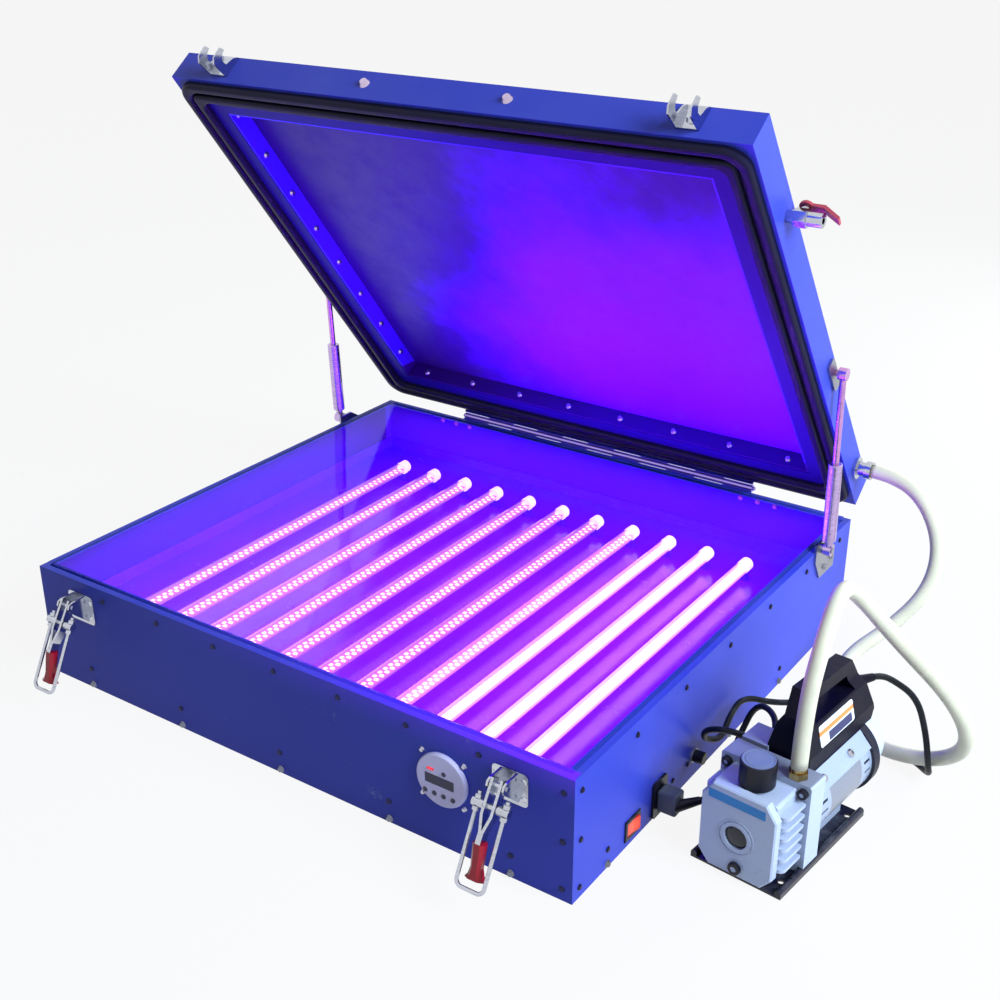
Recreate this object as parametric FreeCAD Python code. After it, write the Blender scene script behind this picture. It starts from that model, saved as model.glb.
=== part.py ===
import FreeCAD, Part
import math
import os
from FreeCAD import Vector

os.makedirs("parts", exist_ok=True)

# Everything is in millimetres. The origin is the middle of the box's underside on the floor,
# +X to the right, +Y to the back, where the lid is hinged, and +Z up.

# Box
box_width = 760.0
box_depth = 678.0
box_height = 147.0
sheet = 1.5
fold = 12.0
left_return = 13.0
back_return = 14.0
side = box_width / 2
front = -box_depth / 2
back = box_depth / 2

# Glass and what is under it
glass_thickness = 5.0
glass_inset = 7.0
tray_height = 68.0
tube_count = 11
tube_pitch = 56.0
tube_radius = 8.0
tube_wall = 1.0
tube_height = 90.0
tube_front = -309.0
tube_back = 250.0
cap_radius = 8.7
cap_length = 12.0

# Lid, drawn shut and then swung open
lid_gap = 14.0
lid_setback = 20.0
lid_height = 40.0
lid_skin = 1.5
rim_width = 54.0
recess_depth = 27.0
ledge_width = 20.0
blanket_thickness = 3.0
strip_thickness = 3.0
strip_inset = 1.0
seal_height = 8.5
open_angle = 52.4
lid_floor = box_height + lid_gap
lid_roof = lid_floor + lid_height
lid_front = front + lid_setback

# Hinge along the back
pivot_y = back + 8.0
pivot_z = box_height + 4.0
hinge_length = 476.0
knuckles = 11
knuckle_radius = 4.8
pin_radius = 2.45
running_gap = 0.05
leaf = 2.0

# Latches on the front
latch_x = 308.0
latch_pivot = (front - 22.0, 125.0)
barrel_reach = 21.5
barrel_radius = 3.0
roll_radius = 4.6
lever_lean = 32.0
grip_lean = 13.0
grip_reach = 56.0
grip_length = 38.0
loop_lean = 28.0
loop_half_width = 16.0
loop_rod = 2.2
loop_length = 82.0

# Gas struts beside the lid
strut_x = side + 12.0
strut_foot = (233.0, 151.0)
strut_head_shut = (85.0, 192.0)
strut_tube_radius = 8.5
strut_tube_length = 118.0
strut_rod_radius = 4.0

# Small fittings on the panels
timer_at = (226.0, 85.0)
timer_radius = 31.0
timer_depth = 28.0
rocker_at = (-223.0, 21.0)
rocker_size = (31.0, 25.0)
rocker_pivot_radius = 1.6
outlet_at = (-167.0, 24.0)
inlet_at = (300.0, 40.0)
fuse_at = (-87.0, 29.0)

# Pump, drawn along its own shaft and then turned and set beside the box
pump_at = (492.5, front + 126.0)
pump_turn = -6.0
pump_width = 104.0
pump_base_length = 174.0
motor_axis = (6.0, 56.0)
motor_radius = 43.0
shaft_radius = 7.0

# Cords: control points of each route, from end to end
hose_diameter = 17.0
hose_route = [
    (402.0, 334.1, 221.84),
    (436.5, 334.1, 221.84),
    (478.0, 323.5, 201.5),
    (508.0, 302.0, 158.5),
    (507.5, 277.5, 107.5),
    (479.5, 236.5, 67.5),
    (448.5, 183.5, 44.5),
    (453.0, 129.0, 23.5),
    (487.5, 85.0, 13.5),
    (542.0, 66.0, 9.5),
    (606.0, 58.0, 26.0),
    (643.0, 30.0, 76.0),
    (627.5, 6.0, 137.5),
    (556.5, 5.0, 191.0),
    (520.5, -21.5, 244.0),
    (521.0, -78.0, 280.5),
    (531.5, -140.0, 256.0),
    (528.08, -161.44, 188.5),
    (528.08, -161.44, 118.0),
]
lead_diameter = 7.0
relief_length = 24.0
lead_route = [
    (535.0, 13.3, 132.4),
    (539.2, 22.9, 131.0),
    (548.5, 37.5, 122.0),
    (575.5, 47.5, 103.0),
    (593.0, 37.5, 68.5),
    (601.5, 33.5, 30.5),
    (598.5, 54.5, 7.5),
    (574.0, 77.0, 3.6),
    (536.5, 85.0, 3.6),
    (512.5, 97.0, 6.0),
    (491.0, 101.0, 31.0),
    (456.0, 76.0, 39.5),
    (419.0, 40.0, 41.5),
    (391.0, 11.5, 56.5),
    (391.5, -23.5, 49.5),
    (398.0, -55.5, 38.0),
    (388.5, -83.0, 51.0),
    (397.0, -98.0, 75.5),
    (425.0, -100.5, 87.0),
    (452.5, -88.5, 77.0),
    (462.0, -62.5, 72.5),
    (450.0, -35.0, 77.0),
    (428.0, -18.0, 75.0),
    (413.0, -12.0, 58.5),
    (408.0, -20.5, 38.0),
    (408.5, -40.5, 26.0),
    (417.0, -60.0, 24.5),
    (430.5, -85.0, 33.0),
    (442.0, -114.5, 37.5),
    (438.0, -139.5, 31.5),
    (422.7, -153.8, 27.6),
]


def box(low, high):
    size = [b - a for a, b in zip(low, high)]
    return Part.makeBox(size[0], size[1], size[2], Vector(*low))


def rod(start, direction, radius, length):
    return Part.makeCylinder(radius, length, Vector(*start), Vector(*direction))


def ring(start, direction, outer, inner, length):
    return rod(start, direction, outer, length).cut(rod(start, direction, inner, length))


def joined(shapes):
    whole = shapes[0]
    if len(shapes) > 1:
        whole = shapes[0].fuse(shapes[1:])
    return whole.removeSplitter()


def prism(points, along):
    """Solid from a closed outline of 3-D points, pushed along a vector."""
    corners = [Vector(*p) for p in points]
    return Part.Face(Part.makePolygon(corners + corners[:1])).extrude(Vector(*along))


def rounded_plate(x_half, y_low, y_high, radius, z_low, height):
    """Flat plate with its four upright corners rounded."""
    plate = box((-x_half, y_low, z_low), (x_half, y_high, z_low + height))
    upright = [e for e in plate.Edges if abs(e.Vertexes[0].Z - e.Vertexes[-1].Z) > height / 2]
    return plate.makeFillet(radius, upright)


def mirrored(shape):
    return shape.mirror(Vector(0, 0, 0), Vector(1, 0, 0))


def swung_open(shape):
    opened = shape.copy()
    opened.rotate(Vector(0, pivot_y, pivot_z), Vector(1, 0, 0), -open_angle)
    return opened


def opened_point(y, z):
    """Where a point of the shut lid goes when the lid is open."""
    turn = math.radians(open_angle)
    dy, dz = y - pivot_y, z - pivot_z
    return (pivot_y + dy * math.cos(turn) + dz * math.sin(turn),
            pivot_z - dy * math.sin(turn) + dz * math.cos(turn))


def beside_box(shape):
    placed = shape.copy()
    placed.rotate(Vector(0, 0, 0), Vector(0, 0, 1), pump_turn)
    placed.translate(Vector(pump_at[0], pump_at[1], 0))
    return placed


def bent_rod(points, bend, radius):
    """Round rod along straight runs, with the same bend at every corner."""
    knots = [Vector(*p) for p in points]
    edges, last = [], knots[0]
    for before, here, after in zip(knots, knots[1:], knots[2:]):
        come = here.sub(before).normalize()
        go = after.sub(here).normalize()
        half_turn = come.getAngle(go) / 2
        reach = bend * math.tan(half_turn)
        start = here.sub(Vector(come).multiply(reach))
        end = here.add(Vector(go).multiply(reach))
        inward = go.sub(come).normalize()
        middle = here.add(inward.multiply(bend / math.cos(half_turn) - bend))
        edges.append(Part.LineSegment(last, start).toShape())
        edges.append(Part.Arc(start, middle, end).toShape())
        last = end
    edges.append(Part.LineSegment(last, knots[-1]).toShape())
    circle = Part.Wire(Part.makeCircle(radius, knots[0], knots[1].sub(knots[0])))
    return Part.Wire(edges).makePipeShell([circle], True, False)


def screw_head(at, out, radius=3.6, height=1.8):
    """Low tapered head standing on a face, its axis along out."""
    return Part.makeCone(radius, radius * 0.62, height, Vector(*at), Vector(*out))


def save(name, *solids):
    shape = solids[0] if len(solids) == 1 else Part.makeCompound(list(solids))
    shape.exportStep("parts/%s.step" % name)
    print("%-22s solids %3d  valid %s" % (name, len(shape.Solids), shape.isValid()))


# Box panels

def make_box_panels():
    inner_side = side - sheet
    inner_front = front + sheet
    inner_back = back - sheet
    lip = box_height - sheet

    pan = box((-inner_side, inner_front, 0), (inner_side, inner_back, sheet))
    save("base_pan", pan)

    face = box((-side + left_return, front, 0), (side, inner_front, box_height))
    top_fold = box((-inner_side, inner_front, lip), (inner_side, inner_front + fold, box_height))
    hole = rod((timer_at[0], front - 1, timer_at[1]), (0, 1, 0), 25.0, sheet + 2)
    save("front_panel", joined([face, top_fold]).cut(hole))

    face = box((-side, inner_back, 0), (side, back, box_height))
    top_fold = box((-inner_side, inner_back - fold, lip), (inner_side, inner_back, box_height))
    returns = [box((inner_side, back - back_return, 0), (side, inner_back, box_height)),
               box((-side, back - back_return, 0), (-inner_side, inner_back, box_height))]
    hole = box((inlet_at[0] - 13.6, inner_back - 1, inlet_at[1] - 9.6),
               (inlet_at[0] + 13.6, back + 1, inlet_at[1] + 9.6))
    save("rear_panel", joined([face, top_fold] + returns).cut(hole))

    fold_low = inner_front + fold
    fold_high = inner_back - fold
    far_end = back - back_return
    face = box((-side, front, 0), (-inner_side, far_end, box_height))
    top_fold = box((-inner_side, fold_low, lip), (-inner_side + fold, fold_high, box_height))
    wrap = box((-inner_side, front, 0), (-side + left_return, inner_front, box_height))
    save("left_side_panel", joined([face, top_fold, wrap]))

    face = box((inner_side, inner_front, 0), (side, far_end, box_height))
    top_fold = box((inner_side - fold, fold_low, lip), (inner_side, fold_high, box_height))
    half_y, half_z = rocker_size[0] / 2 - 2.0, rocker_size[1] / 2 - 2.0
    rocker_hole = box((inner_side - 1, rocker_at[0] - half_y, rocker_at[1] - half_z),
                      (side + 1, rocker_at[0] + half_y, rocker_at[1] + half_z))
    outlet_hole = box((inner_side - 1, outlet_at[0] - 10.6, outlet_at[1] - 14.6),
                      (side + 1, outlet_at[0] + 10.6, outlet_at[1] + 14.6))
    fuse_hole = rod((inner_side - 1, fuse_at[0], fuse_at[1]), (1, 0, 0), 6.1, sheet + 2)
    panel = joined([face, top_fold])
    save("right_side_panel", panel.cut([rocker_hole, outlet_hole, fuse_hole]))


def make_glass():
    plate = box((-side + glass_inset, front + glass_inset, box_height),
                (side - glass_inset, back - glass_inset, box_height + glass_thickness))
    save("glass_plate", plate.makeChamfer(0.8, plate.Edges))


def make_light_bed():
    reach = side - sheet
    tray = box((-reach, front + sheet, tray_height), (reach, back - sheet, tray_height + sheet))
    walls = box((-reach, front + sheet, tray_height), (reach, back - sheet, tray_height + 18.0))
    hollow = box((-reach + sheet, front + 2 * sheet, tray_height),
                 (reach - sheet, back - 2 * sheet, tray_height + 20.0))
    timer_room = box((timer_at[0] - 27.0, front, tray_height - 1.0),
                     (timer_at[0] + 27.0, front + timer_depth + 3.0, tray_height + 20.0))
    save("inner_tray", joined([tray, walls.cut(hollow)]).cut(timer_room))

    tubes, boards, caps = [], [], []
    bed = tray_height + sheet
    for k in range(tube_count):
        x = (k - (tube_count - 1) / 2) * tube_pitch
        glass_start = tube_front + cap_length
        glass_length = tube_back - tube_front - 2 * cap_length
        tubes.append(ring((x, glass_start, tube_height), (0, 1, 0),
                          tube_radius, tube_radius - tube_wall, glass_length))
        boards.append(box((x - 5.5, glass_start + 1, tube_height - 1.2),
                          (x + 5.5, glass_start + glass_length - 1, tube_height)))
        for y in (tube_front, tube_back - cap_length):
            cap = rod((x, y, tube_height), (0, 1, 0), cap_radius, cap_length)
            foot = box((x - 4.0, y + 2.0, bed), (x + 4.0, y + cap_length - 2.0, tube_height))
            caps.append(joined([cap, foot]))
    save("uv_tubes", *tubes)
    save("led_strips", *boards)
    save("tube_end_caps", *caps)
    save("led_driver", box((-330.0, -60.0, sheet), (-262.0, 120.0, sheet + 34.0)))


def make_box_screws():
    heads = []
    out = (0, -1, 0)
    for k in range(-3, 4):
        heads.append(screw_head((90.0 * k, front, 132.0), out))
    for k in range(-2, 3):
        heads.append(screw_head((154.0 * k, front, 27.0), out))
        heads.append(screw_head((154.0 * k, front, 5.0), out, 4.4, 3.0))
    for z in (128.0, 71.0, 14.0):
        heads.append(screw_head((side - 12.0, front, z), out))
    for dx in (-26.0, 26.0):
        for dz in (-26.0, 26.0):
            heads.append(screw_head((timer_at[0] + dx, front, timer_at[1] + dz), out, 3.2, 2.2))
    for sign in (1, -1):
        out = (sign, 0, 0)
        for z in (129.0, 71.0, 13.0):
            heads.append(screw_head((sign * side, front + 13.0, z), out))
        for k in range(6):
            heads.append(screw_head((sign * side, front + 119.0 + 105.0 * k, 131.0), out))
        for k in range(5):
            y = front + 67.0 + 138.0 * k
            heads.append(screw_head((sign * side, y, 23.0), out))
            heads.append(screw_head((sign * side, y, 5.0), out, 4.4, 3.0))
    heads.append(screw_head((side, front + 239.0, 24.0), (1, 0, 0), 3.2, 2.2))
    for x in (-250.0, 250.0):
        for dx in (-25.0, 0.0, 25.0):
            heads.append(screw_head((x + dx, back - sheet, 136.0), (0, -1, 0)))
    save("panel_screws", *heads)


# Electrical fittings

def make_rocker():
    y, z = rocker_at
    half_y, half_z = rocker_size[0] / 2, rocker_size[1] / 2
    rim = box((side, y - half_y, z - half_z), (side + 2.0, y + half_y, z + half_z))
    rim = rim.makeChamfer(0.8, [e for e in rim.Edges if e.CenterOfMass.x > side + 1.9])
    body = box((side - 20.0, y - half_y + 2.3, z - half_z + 2.3),
               (side, y + half_y - 2.3, z + half_z - 2.3))
    well = box((side - 12.0, y - half_y + 4.0, z - half_z + 4.0),
               (side + 3.0, y + half_y - 4.0, z + half_z - 4.0))
    low = z - half_z + 4.4
    high = z + half_z - 4.4
    seat = rod((side, y, low - 1.4), (0, 0, 1), rocker_pivot_radius + running_gap, high - low + 2.8)
    save("rocker_bezel", joined([rim, body]).cut([well, seat]))

    reach = half_y - 4.4
    outline = [(side - 6.0, y - reach + 1.5), (side + 1.2, y - reach), (side + 1.8, y),
               (side + 4.4, y + reach - 0.6), (side - 4.0, y + reach - 0.6)]
    rocker = prism([(x, yy, low) for x, yy in outline], (0, 0, high - low))
    pivot = rod((side, y, low - 1.2), (0, 0, 1), rocker_pivot_radius, high - low + 2.4)
    save("rocker", joined([rocker, pivot]))


def make_timer():
    x, z = timer_at
    bezel = rod((x, front, z), (0, -1, 0), timer_radius, 5.0)
    bezel = bezel.makeFillet(2.2, [e for e in bezel.Edges if e.CenterOfMass.y < front - 4.9])
    can = rod((x, front, z), (0, 1, 0), 24.6, timer_depth)
    display = box((x - 21.0, front - 6.0, z - 8.0), (x + 17.0, front - 4.6, z + 5.5))
    body = joined([bezel, can]).cut(display)
    keys = []
    for k in range(4):
        key_x = x - 19.5 + 11.6 * k
        key_z = z - 17.0
        well = rod((key_x, front - 6.0, key_z), (0, 1, 0), 2.9, 4.4)
        body = body.cut(well)
        keys.append(rod((key_x, front - 2.6, key_z), (0, -1, 0), 2.5, 3.2))
    save("timer_body", body)
    for k, key in enumerate(keys):
        save("timer_key_%d" % (k + 1), key)


def make_sockets():
    y, z = outlet_at
    plate = box((side, y - 15.0, z - 22.0), (side + 3.0, y + 15.0, z + 22.0))
    plate = plate.makeFillet(4.0, [e for e in plate.Edges if e.Length < 3.1])
    shell = box((side - 18.0, y - 10.2, z - 14.2), (side, y + 10.2, z + 14.2))
    outlet = joined([plate, shell])
    screws = [screw_head((side + 3.0, y, z + dz), (1, 0, 0), 2.8, 1.6) for dz in (-18.0, 18.0)]

    x, z = inlet_at
    plate = box((x - 25.0, back, z - 14.0), (x + 25.0, back + 3.0, z + 14.0))
    plate = plate.makeFillet(6.0, [e for e in plate.Edges if e.Length < 3.1])
    shell = box((x - 13.2, back - 20.0, z - 9.2), (x + 13.2, back, z + 9.2))
    recess = box((x - 11.8, back - 15.0, z - 7.8), (x + 11.8, back + 4.0, z + 7.8))
    inlet = joined([plate, shell]).cut(recess)
    screws += [screw_head((x + dx, back + 3.0, z), (0, 1, 0), 2.8, 1.6) for dx in (-20.0, 20.0)]
    save("power_sockets", outlet, inlet, *screws)

    y, z = fuse_at
    cap = rod((side + 2.0, y, z), (1, 0, 0), 7.2, 12.0)
    cap = cap.makeFillet(1.2, [e for e in cap.Edges if e.CenterOfMass.x > side + 13.9])
    flange = rod((side, y, z), (1, 0, 0), 8.6, 2.0)
    body = rod((side - 22.0, y, z), (1, 0, 0), 6.0, 22.0)
    save("fuse_holder", joined([cap, flange, body]))


# Hinge

def knuckle_span(k):
    length = hinge_length / knuckles
    start = -hinge_length / 2 + k * length
    return start + 0.2, start + length - 0.2


def make_hinge():
    bore = rod((-side, pivot_y, pivot_z), (1, 0, 0), pin_radius + running_gap, box_width)
    web = 2.2
    box_leaf = [box((-hinge_length / 2, back, 112.0),
                    (hinge_length / 2, back + leaf, pivot_z - knuckle_radius + web))]
    lid_leaf = [box((-hinge_length / 2, back, pivot_z + knuckle_radius - web),
                    (hinge_length / 2, back + leaf, lid_floor + 30.0))]
    for k in range(knuckles):
        x0, x1 = knuckle_span(k)
        barrel = rod((x0, pivot_y, pivot_z), (1, 0, 0), knuckle_radius, x1 - x0)
        if k % 2 == 0:
            z = pivot_z - knuckle_radius
            box_leaf += [barrel, box((x0, back + leaf, z), (x1, pivot_y, z + web))]
        else:
            z = pivot_z + knuckle_radius - web
            lid_leaf += [barrel, box((x0, back + leaf, z), (x1, pivot_y, z + web))]
    save("hinge_box_leaf", joined(box_leaf).cut(bore))
    save("hinge_lid_leaf", swung_open(joined(lid_leaf).cut(bore)))
    save("hinge_pin", rod((-hinge_length / 2 - 3.0, pivot_y, pivot_z), (1, 0, 0),
                          pin_radius, hinge_length + 6.0))


# Lid

def lid_bar(half_length, edge, inward, along_x):
    """One side of the folded lid frame, mitred at both ends.

    The section is a channel, open at the top, with a ledge standing out from its inner wall
    over the recess; edge is where its outer face stands and inward the way its width goes.
    """
    wall = 2.0
    full = rim_width + ledge_width
    top = lid_height - lid_skin
    section = [(0, top), (0, 0), (rim_width, 0), (rim_width, recess_depth),
               (full, recess_depth), (full, recess_depth + wall),
               (rim_width, recess_depth + wall), (rim_width, top), (rim_width - wall, top),
               (rim_width - wall, wall), (wall, wall), (wall, top)]
    inner = half_length - full
    if along_x:
        outline = [(-half_length, edge + inward * u, lid_floor + w) for u, w in section]
        bar = prism(outline, (2 * half_length, 0, 0))
        mitre = [(-half_length, edge), (half_length, edge),
                 (inner, edge + inward * full), (-inner, edge + inward * full)]
    else:
        middle = (lid_front + back) / 2
        outline = [(edge + inward * u, middle - half_length, lid_floor + w) for u, w in section]
        bar = prism(outline, (0, 2 * half_length, 0))
        mitre = [(edge, middle - half_length), (edge, middle + half_length),
                 (edge + inward * full, middle + inner), (edge + inward * full, middle - inner)]
    cutter = prism([(x, y, lid_floor - 1) for x, y in mitre], (0, 0, lid_height + 2))
    return bar.common(cutter)


def seal_bead(inset, width):
    """One bead of the rubber seal: a rounded ring hanging below the lid's rim."""
    low = lid_floor - seal_height
    radius = 30.0 - inset
    outer = rounded_plate(side - inset, lid_front + inset, back - inset, radius, low, seal_height)
    inset += width
    inner = rounded_plate(side - inset, lid_front + inset, back - inset, 30.0 - inset / 2,
                          low - 1, seal_height + 2)
    bead = outer.cut(inner)
    lower = [e for e in bead.Edges if abs(e.BoundBox.ZMin - low) < 0.01
             and abs(e.BoundBox.ZMax - low) < 0.01]
    return bead.makeFillet(width * 0.4, lower)


def make_lid():
    half_depth = (back - lid_front) / 2
    bars = [lid_bar(side, lid_front, 1, True), lid_bar(side, back, -1, True),
            lid_bar(half_depth, -side, 1, False), lid_bar(half_depth, side, -1, False)]
    save("lid_frame_bars", *[swung_open(b) for b in bars])

    skin = box((-side, lid_front, lid_roof - lid_skin), (side, back, lid_roof))
    save("lid_top_sheet", swung_open(skin))

    wall_x = side - rim_width
    wall_front = lid_front + rim_width
    wall_back = back - rim_width
    blanket_top = lid_floor + recess_depth
    edge_gap = 0.2
    blanket = box((-wall_x + edge_gap, wall_front + edge_gap, blanket_top - blanket_thickness),
                  (wall_x - edge_gap, wall_back - edge_gap, blanket_top))
    save("rubber_blanket", swung_open(blanket))

    strip_top = blanket_top - blanket_thickness
    strip_low = lid_floor + strip_inset
    inner = wall_x - strip_thickness
    strips = [box((-wall_x, wall_front, strip_low), (-inner, wall_back, strip_top)),
              box((inner, wall_front, strip_low), (wall_x, wall_back, strip_top)),
              box((-inner, wall_front, strip_low),
                  (inner, wall_front + strip_thickness, strip_top)),
              box((-inner, wall_back - strip_thickness, strip_low),
                  (inner, wall_back, strip_top))]
    save("clamp_strips", *[swung_open(s) for s in strips])

    heads = []
    screw_z = lid_floor + 12.0
    for sign in (-1, 1):
        for k in range(8):
            y = back - 100.0 - 70.0 * k
            heads.append(screw_head((sign * inner, y, screw_z), (-sign, 0, 0), 4.4, 2.6))
        for k in range(4):
            x = sign * (42.0 + 83.5 * k)
            heads.append(screw_head((x, wall_front + strip_thickness, screw_z), (0, 1, 0),
                                    4.4, 2.6))
            heads.append(screw_head((x, wall_back - strip_thickness, screw_z), (0, -1, 0),
                                    4.4, 2.6))
        heads.append(screw_head((sign * 95.0, lid_front, lid_floor + 22.0), (0, -1, 0), 6.5, 4.5))
    save("lid_screws", *[swung_open(h) for h in heads])

    backing = rounded_plate(side - 5.0, lid_front + 5.0, back - 5.0, 25.0, lid_floor - 3.0, 3.0)
    backing = backing.cut(rounded_plate(side - 33.0, lid_front + 33.0, back - 33.0, 12.0,
                                        lid_floor - 4.0, 5.0))
    seal = joined([backing, seal_bead(5.0, 12.0), seal_bead(21.0, 12.0)])
    save("lid_seal", swung_open(seal))


def make_catches():
    """Two ears on each side of a bolt on the lid's front edge, notched for the latch loop."""
    catches = []
    notch = 16.0
    ear = [(0, 9.0), (24.0, 4.0), (30.0, 9.0), (31.0, 24.0), (25.0, 27.0), (22.0, notch + 3.0),
           (17.0, notch), (11.0, notch + 2.0), (8.0, 31.0), (4.0, 37.0), (0, 38.5)]
    for sign in (-1, 1):
        x = sign * latch_x
        plate = box((x - 13.0, lid_front - 2.0, lid_floor + 9.0),
                    (x + 13.0, lid_front, lid_floor + 38.5))
        pieces = [plate, screw_head((x, lid_front - 2.0, lid_floor + 21.0), (0, -1, 0), 5.5, 4.5)]
        for dx in (-13.0, 11.0):
            outline = [(x + dx, lid_front - out, lid_floor + up) for out, up in ear]
            pieces.append(prism(outline, (2.0, 0, 0)))
        catches.append(swung_open(joined(pieces)))
    save("lid_catches", *catches)


def make_valve():
    y = back - 533.0
    z = lid_floor + 24.0
    nipple = rod((side, y, z), (1, 0, 0), 7.0, 10.0)
    corners = []
    for k in range(6):
        turn = math.radians(60 * k)
        corners.append((side + 8.0, y + 10.0 * math.cos(turn), z + 10.0 * math.sin(turn)))
    hexagon = prism(corners, (14.0, 0, 0))
    barrel = rod((side + 22.0, y, z), (1, 0, 0), 7.5, 16.0)
    neck = rod((side + 15.0, y, z), (0, 0, 1), 5.0, 13.0)
    bore = rod((side - 1, y, z), (1, 0, 0), 3.5, 60.0)
    save("valve_body", swung_open(joined([nipple, hexagon, barrel, neck]).cut(bore)))

    lever_z = z + 13.3
    hub = rod((side + 15.0, y, lever_z), (0, 0, 1), 8.0, 5.0)
    hub = hub.makeFillet(3.5, [e for e in hub.Edges if e.CenterOfMass.z > lever_z + 4.9])
    section = [(15.0, 0), (34.0, -1.0), (54.0, -13.0), (54.0, -9.0), (35.0, 3.0), (15.0, 3.0)]
    arm = prism([(side + dx, y - 4.5, lever_z + dz) for dx, dz in section], (0, 9.0, 0))
    save("valve_lever", swung_open(joined([hub, arm])))


def make_hose_port():
    y = back - 56.0
    z = lid_floor + 23.0
    flange = rod((side, y, z), (1, 0, 0), 14.0, 4.0)
    neck = rod((side + 4.0, y, z), (1, 0, 0), 9.0, 10.0)
    clip = rod((side + 14.0, y, z), (1, 0, 0), 11.5, 8.0)
    bore = rod((side - 1, y, z), (1, 0, 0), 5.0, 60.0)
    save("hose_port", swung_open(joined([flange, neck, clip]).cut(bore)))


# Latches

def leaned(shape, point, degrees):
    """Hanging shape swung outwards, away from the panel, about an X axis through point."""
    tilted = shape.copy()
    tilted.rotate(Vector(0, *point), Vector(-1, 0, 0), degrees)
    return tilted


def below(point, distance, degrees):
    """Point at this distance down a line that leans outwards from point."""
    lean = math.radians(degrees)
    return (point[0] - distance * math.sin(lean), point[1] - distance * math.cos(lean))


def make_lever(x, name):
    """Two strips that close up into one tongue, with a red grip over it."""
    py, pz = latch_pivot
    half = 5.5
    strips = []
    for sign in (-1, 1):
        outline = [(4.0, 6.5), (7.0, 6.5), (7.0, -30.0), (3.0, -46.0), (3.0, -58.0),
                   (0.0, -58.0), (0.0, -45.0), (4.0, -29.0)]
        strips.append(prism([(x + sign * dx, py - half, pz + dz) for dx, dz in outline],
                            (0, 2 * half, 0)))
    holes = [rod((x - 20.0, py, z), (1, 0, 0), radius + running_gap, 40.0)
             for z, radius in ((pz, 2.5), (pz - barrel_reach, barrel_radius))]
    strips = leaned(joined(strips).cut(holes), latch_pivot, lever_lean)

    gy, gz = below(latch_pivot, grip_reach, lever_lean)
    tongue = box((x - 3.0, gy - 4.0, gz - 24.0), (x + 3.0, gy + 4.0, gz + 1.0))
    lever = joined([strips, leaned(tongue, (gy, gz), grip_lean)])
    save(name + "_latch_lever", lever)

    wires = []
    sizes = ((0.0, 6.8, 6.2), (-26.0, 6.0, 5.6), (-34.0, 8.0, 6.0), (-grip_length, 11.0, 6.5))
    for dz, wide, deep in sizes:
        spots = [Vector(x + sx * wide, gy + sy * deep, gz + dz)
                 for sx, sy in ((-1, -0.5), (-0.5, -1), (0.5, -1), (1, -0.5),
                                (1, 0.5), (0.5, 1), (-0.5, 1), (-1, 0.5), (-1, -0.5))]
        wires.append(Part.makePolygon(spots))
    grip = leaned(Part.makeLoft(wires, True, True), (gy, gz), grip_lean)
    save(name + "_latch_grip", grip.cut(lever))


def make_loop(x, name):
    """Bent rod that hangs from a cross pin, its two ends screwed through rolls on the pin."""
    by, bz = below(latch_pivot, barrel_reach, lever_lean)
    low = bz - loop_length
    left, right = x - loop_half_width, x + loop_half_width
    top = bz + 11.0
    rail = bent_rod([(left, by, top), (left, by, low), (right, by, low), (right, by, top)],
                    7.0, loop_rod)
    pin = rod((x - 20.0, by, bz), (1, 0, 0), barrel_radius, 40.0)
    pieces = [rail, pin]
    for sign in (-1, 1):
        roll = rod((x + sign * 14.5 - 6.5, by, bz), (1, 0, 0), roll_radius, 13.0)
        pieces.append(roll)
        for z in (bz + roll_radius - 0.6, bz - roll_radius - 3.4):
            pieces.append(rod((x + sign * loop_half_width, by, z), (0, 0, 1), 3.9, 4.0))
    save(name + "_latch_loop", leaned(joined(pieces), (by, bz), loop_lean))


def make_latch_bases():
    py, pz = latch_pivot
    bases = []
    for sign in (-1, 1):
        x = sign * latch_x
        plate = box((x - 21.0, front - 2.0, 94.0), (x + 21.0, front, 132.0))
        plate = plate.makeFillet(5.0, [e for e in plate.Edges if e.Length < 2.1])
        ears = []
        for dx in (-10.5, 8.0):
            section = [(front - 2.0, 97.0), (front - 2.0, 131.5), (py, pz + 6.5),
                       (py - 4.6, pz + 4.6), (py - 6.5, pz), (py - 4.6, pz - 4.6)]
            ears.append(prism([(x + dx, y, z) for y, z in section], (2.5, 0, 0)))
        rivet = rod((x - 12.0, py, pz), (1, 0, 0), 2.5, 24.0)
        rivets = [screw_head((x + dx, front - 2.0, z), (0, -1, 0), 3.4, 1.6)
                  for dx in (-16.0, 16.0) for z in (103.0, 123.0)]
        bases.append(joined([plate] + ears + [rivet] + rivets))
    save("latch_bases", *bases)


# Gas struts

def strut_frame():
    """Foot, head when open, unit direction and length of the strut at rest."""
    fy, fz = strut_foot
    hy, hz = opened_point(*strut_head_shut)
    length = math.hypot(hy - fy, hz - fz)
    return fy, fz, hy, hz, (0, (hy - fy) / length, (hz - fz) / length), length


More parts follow.
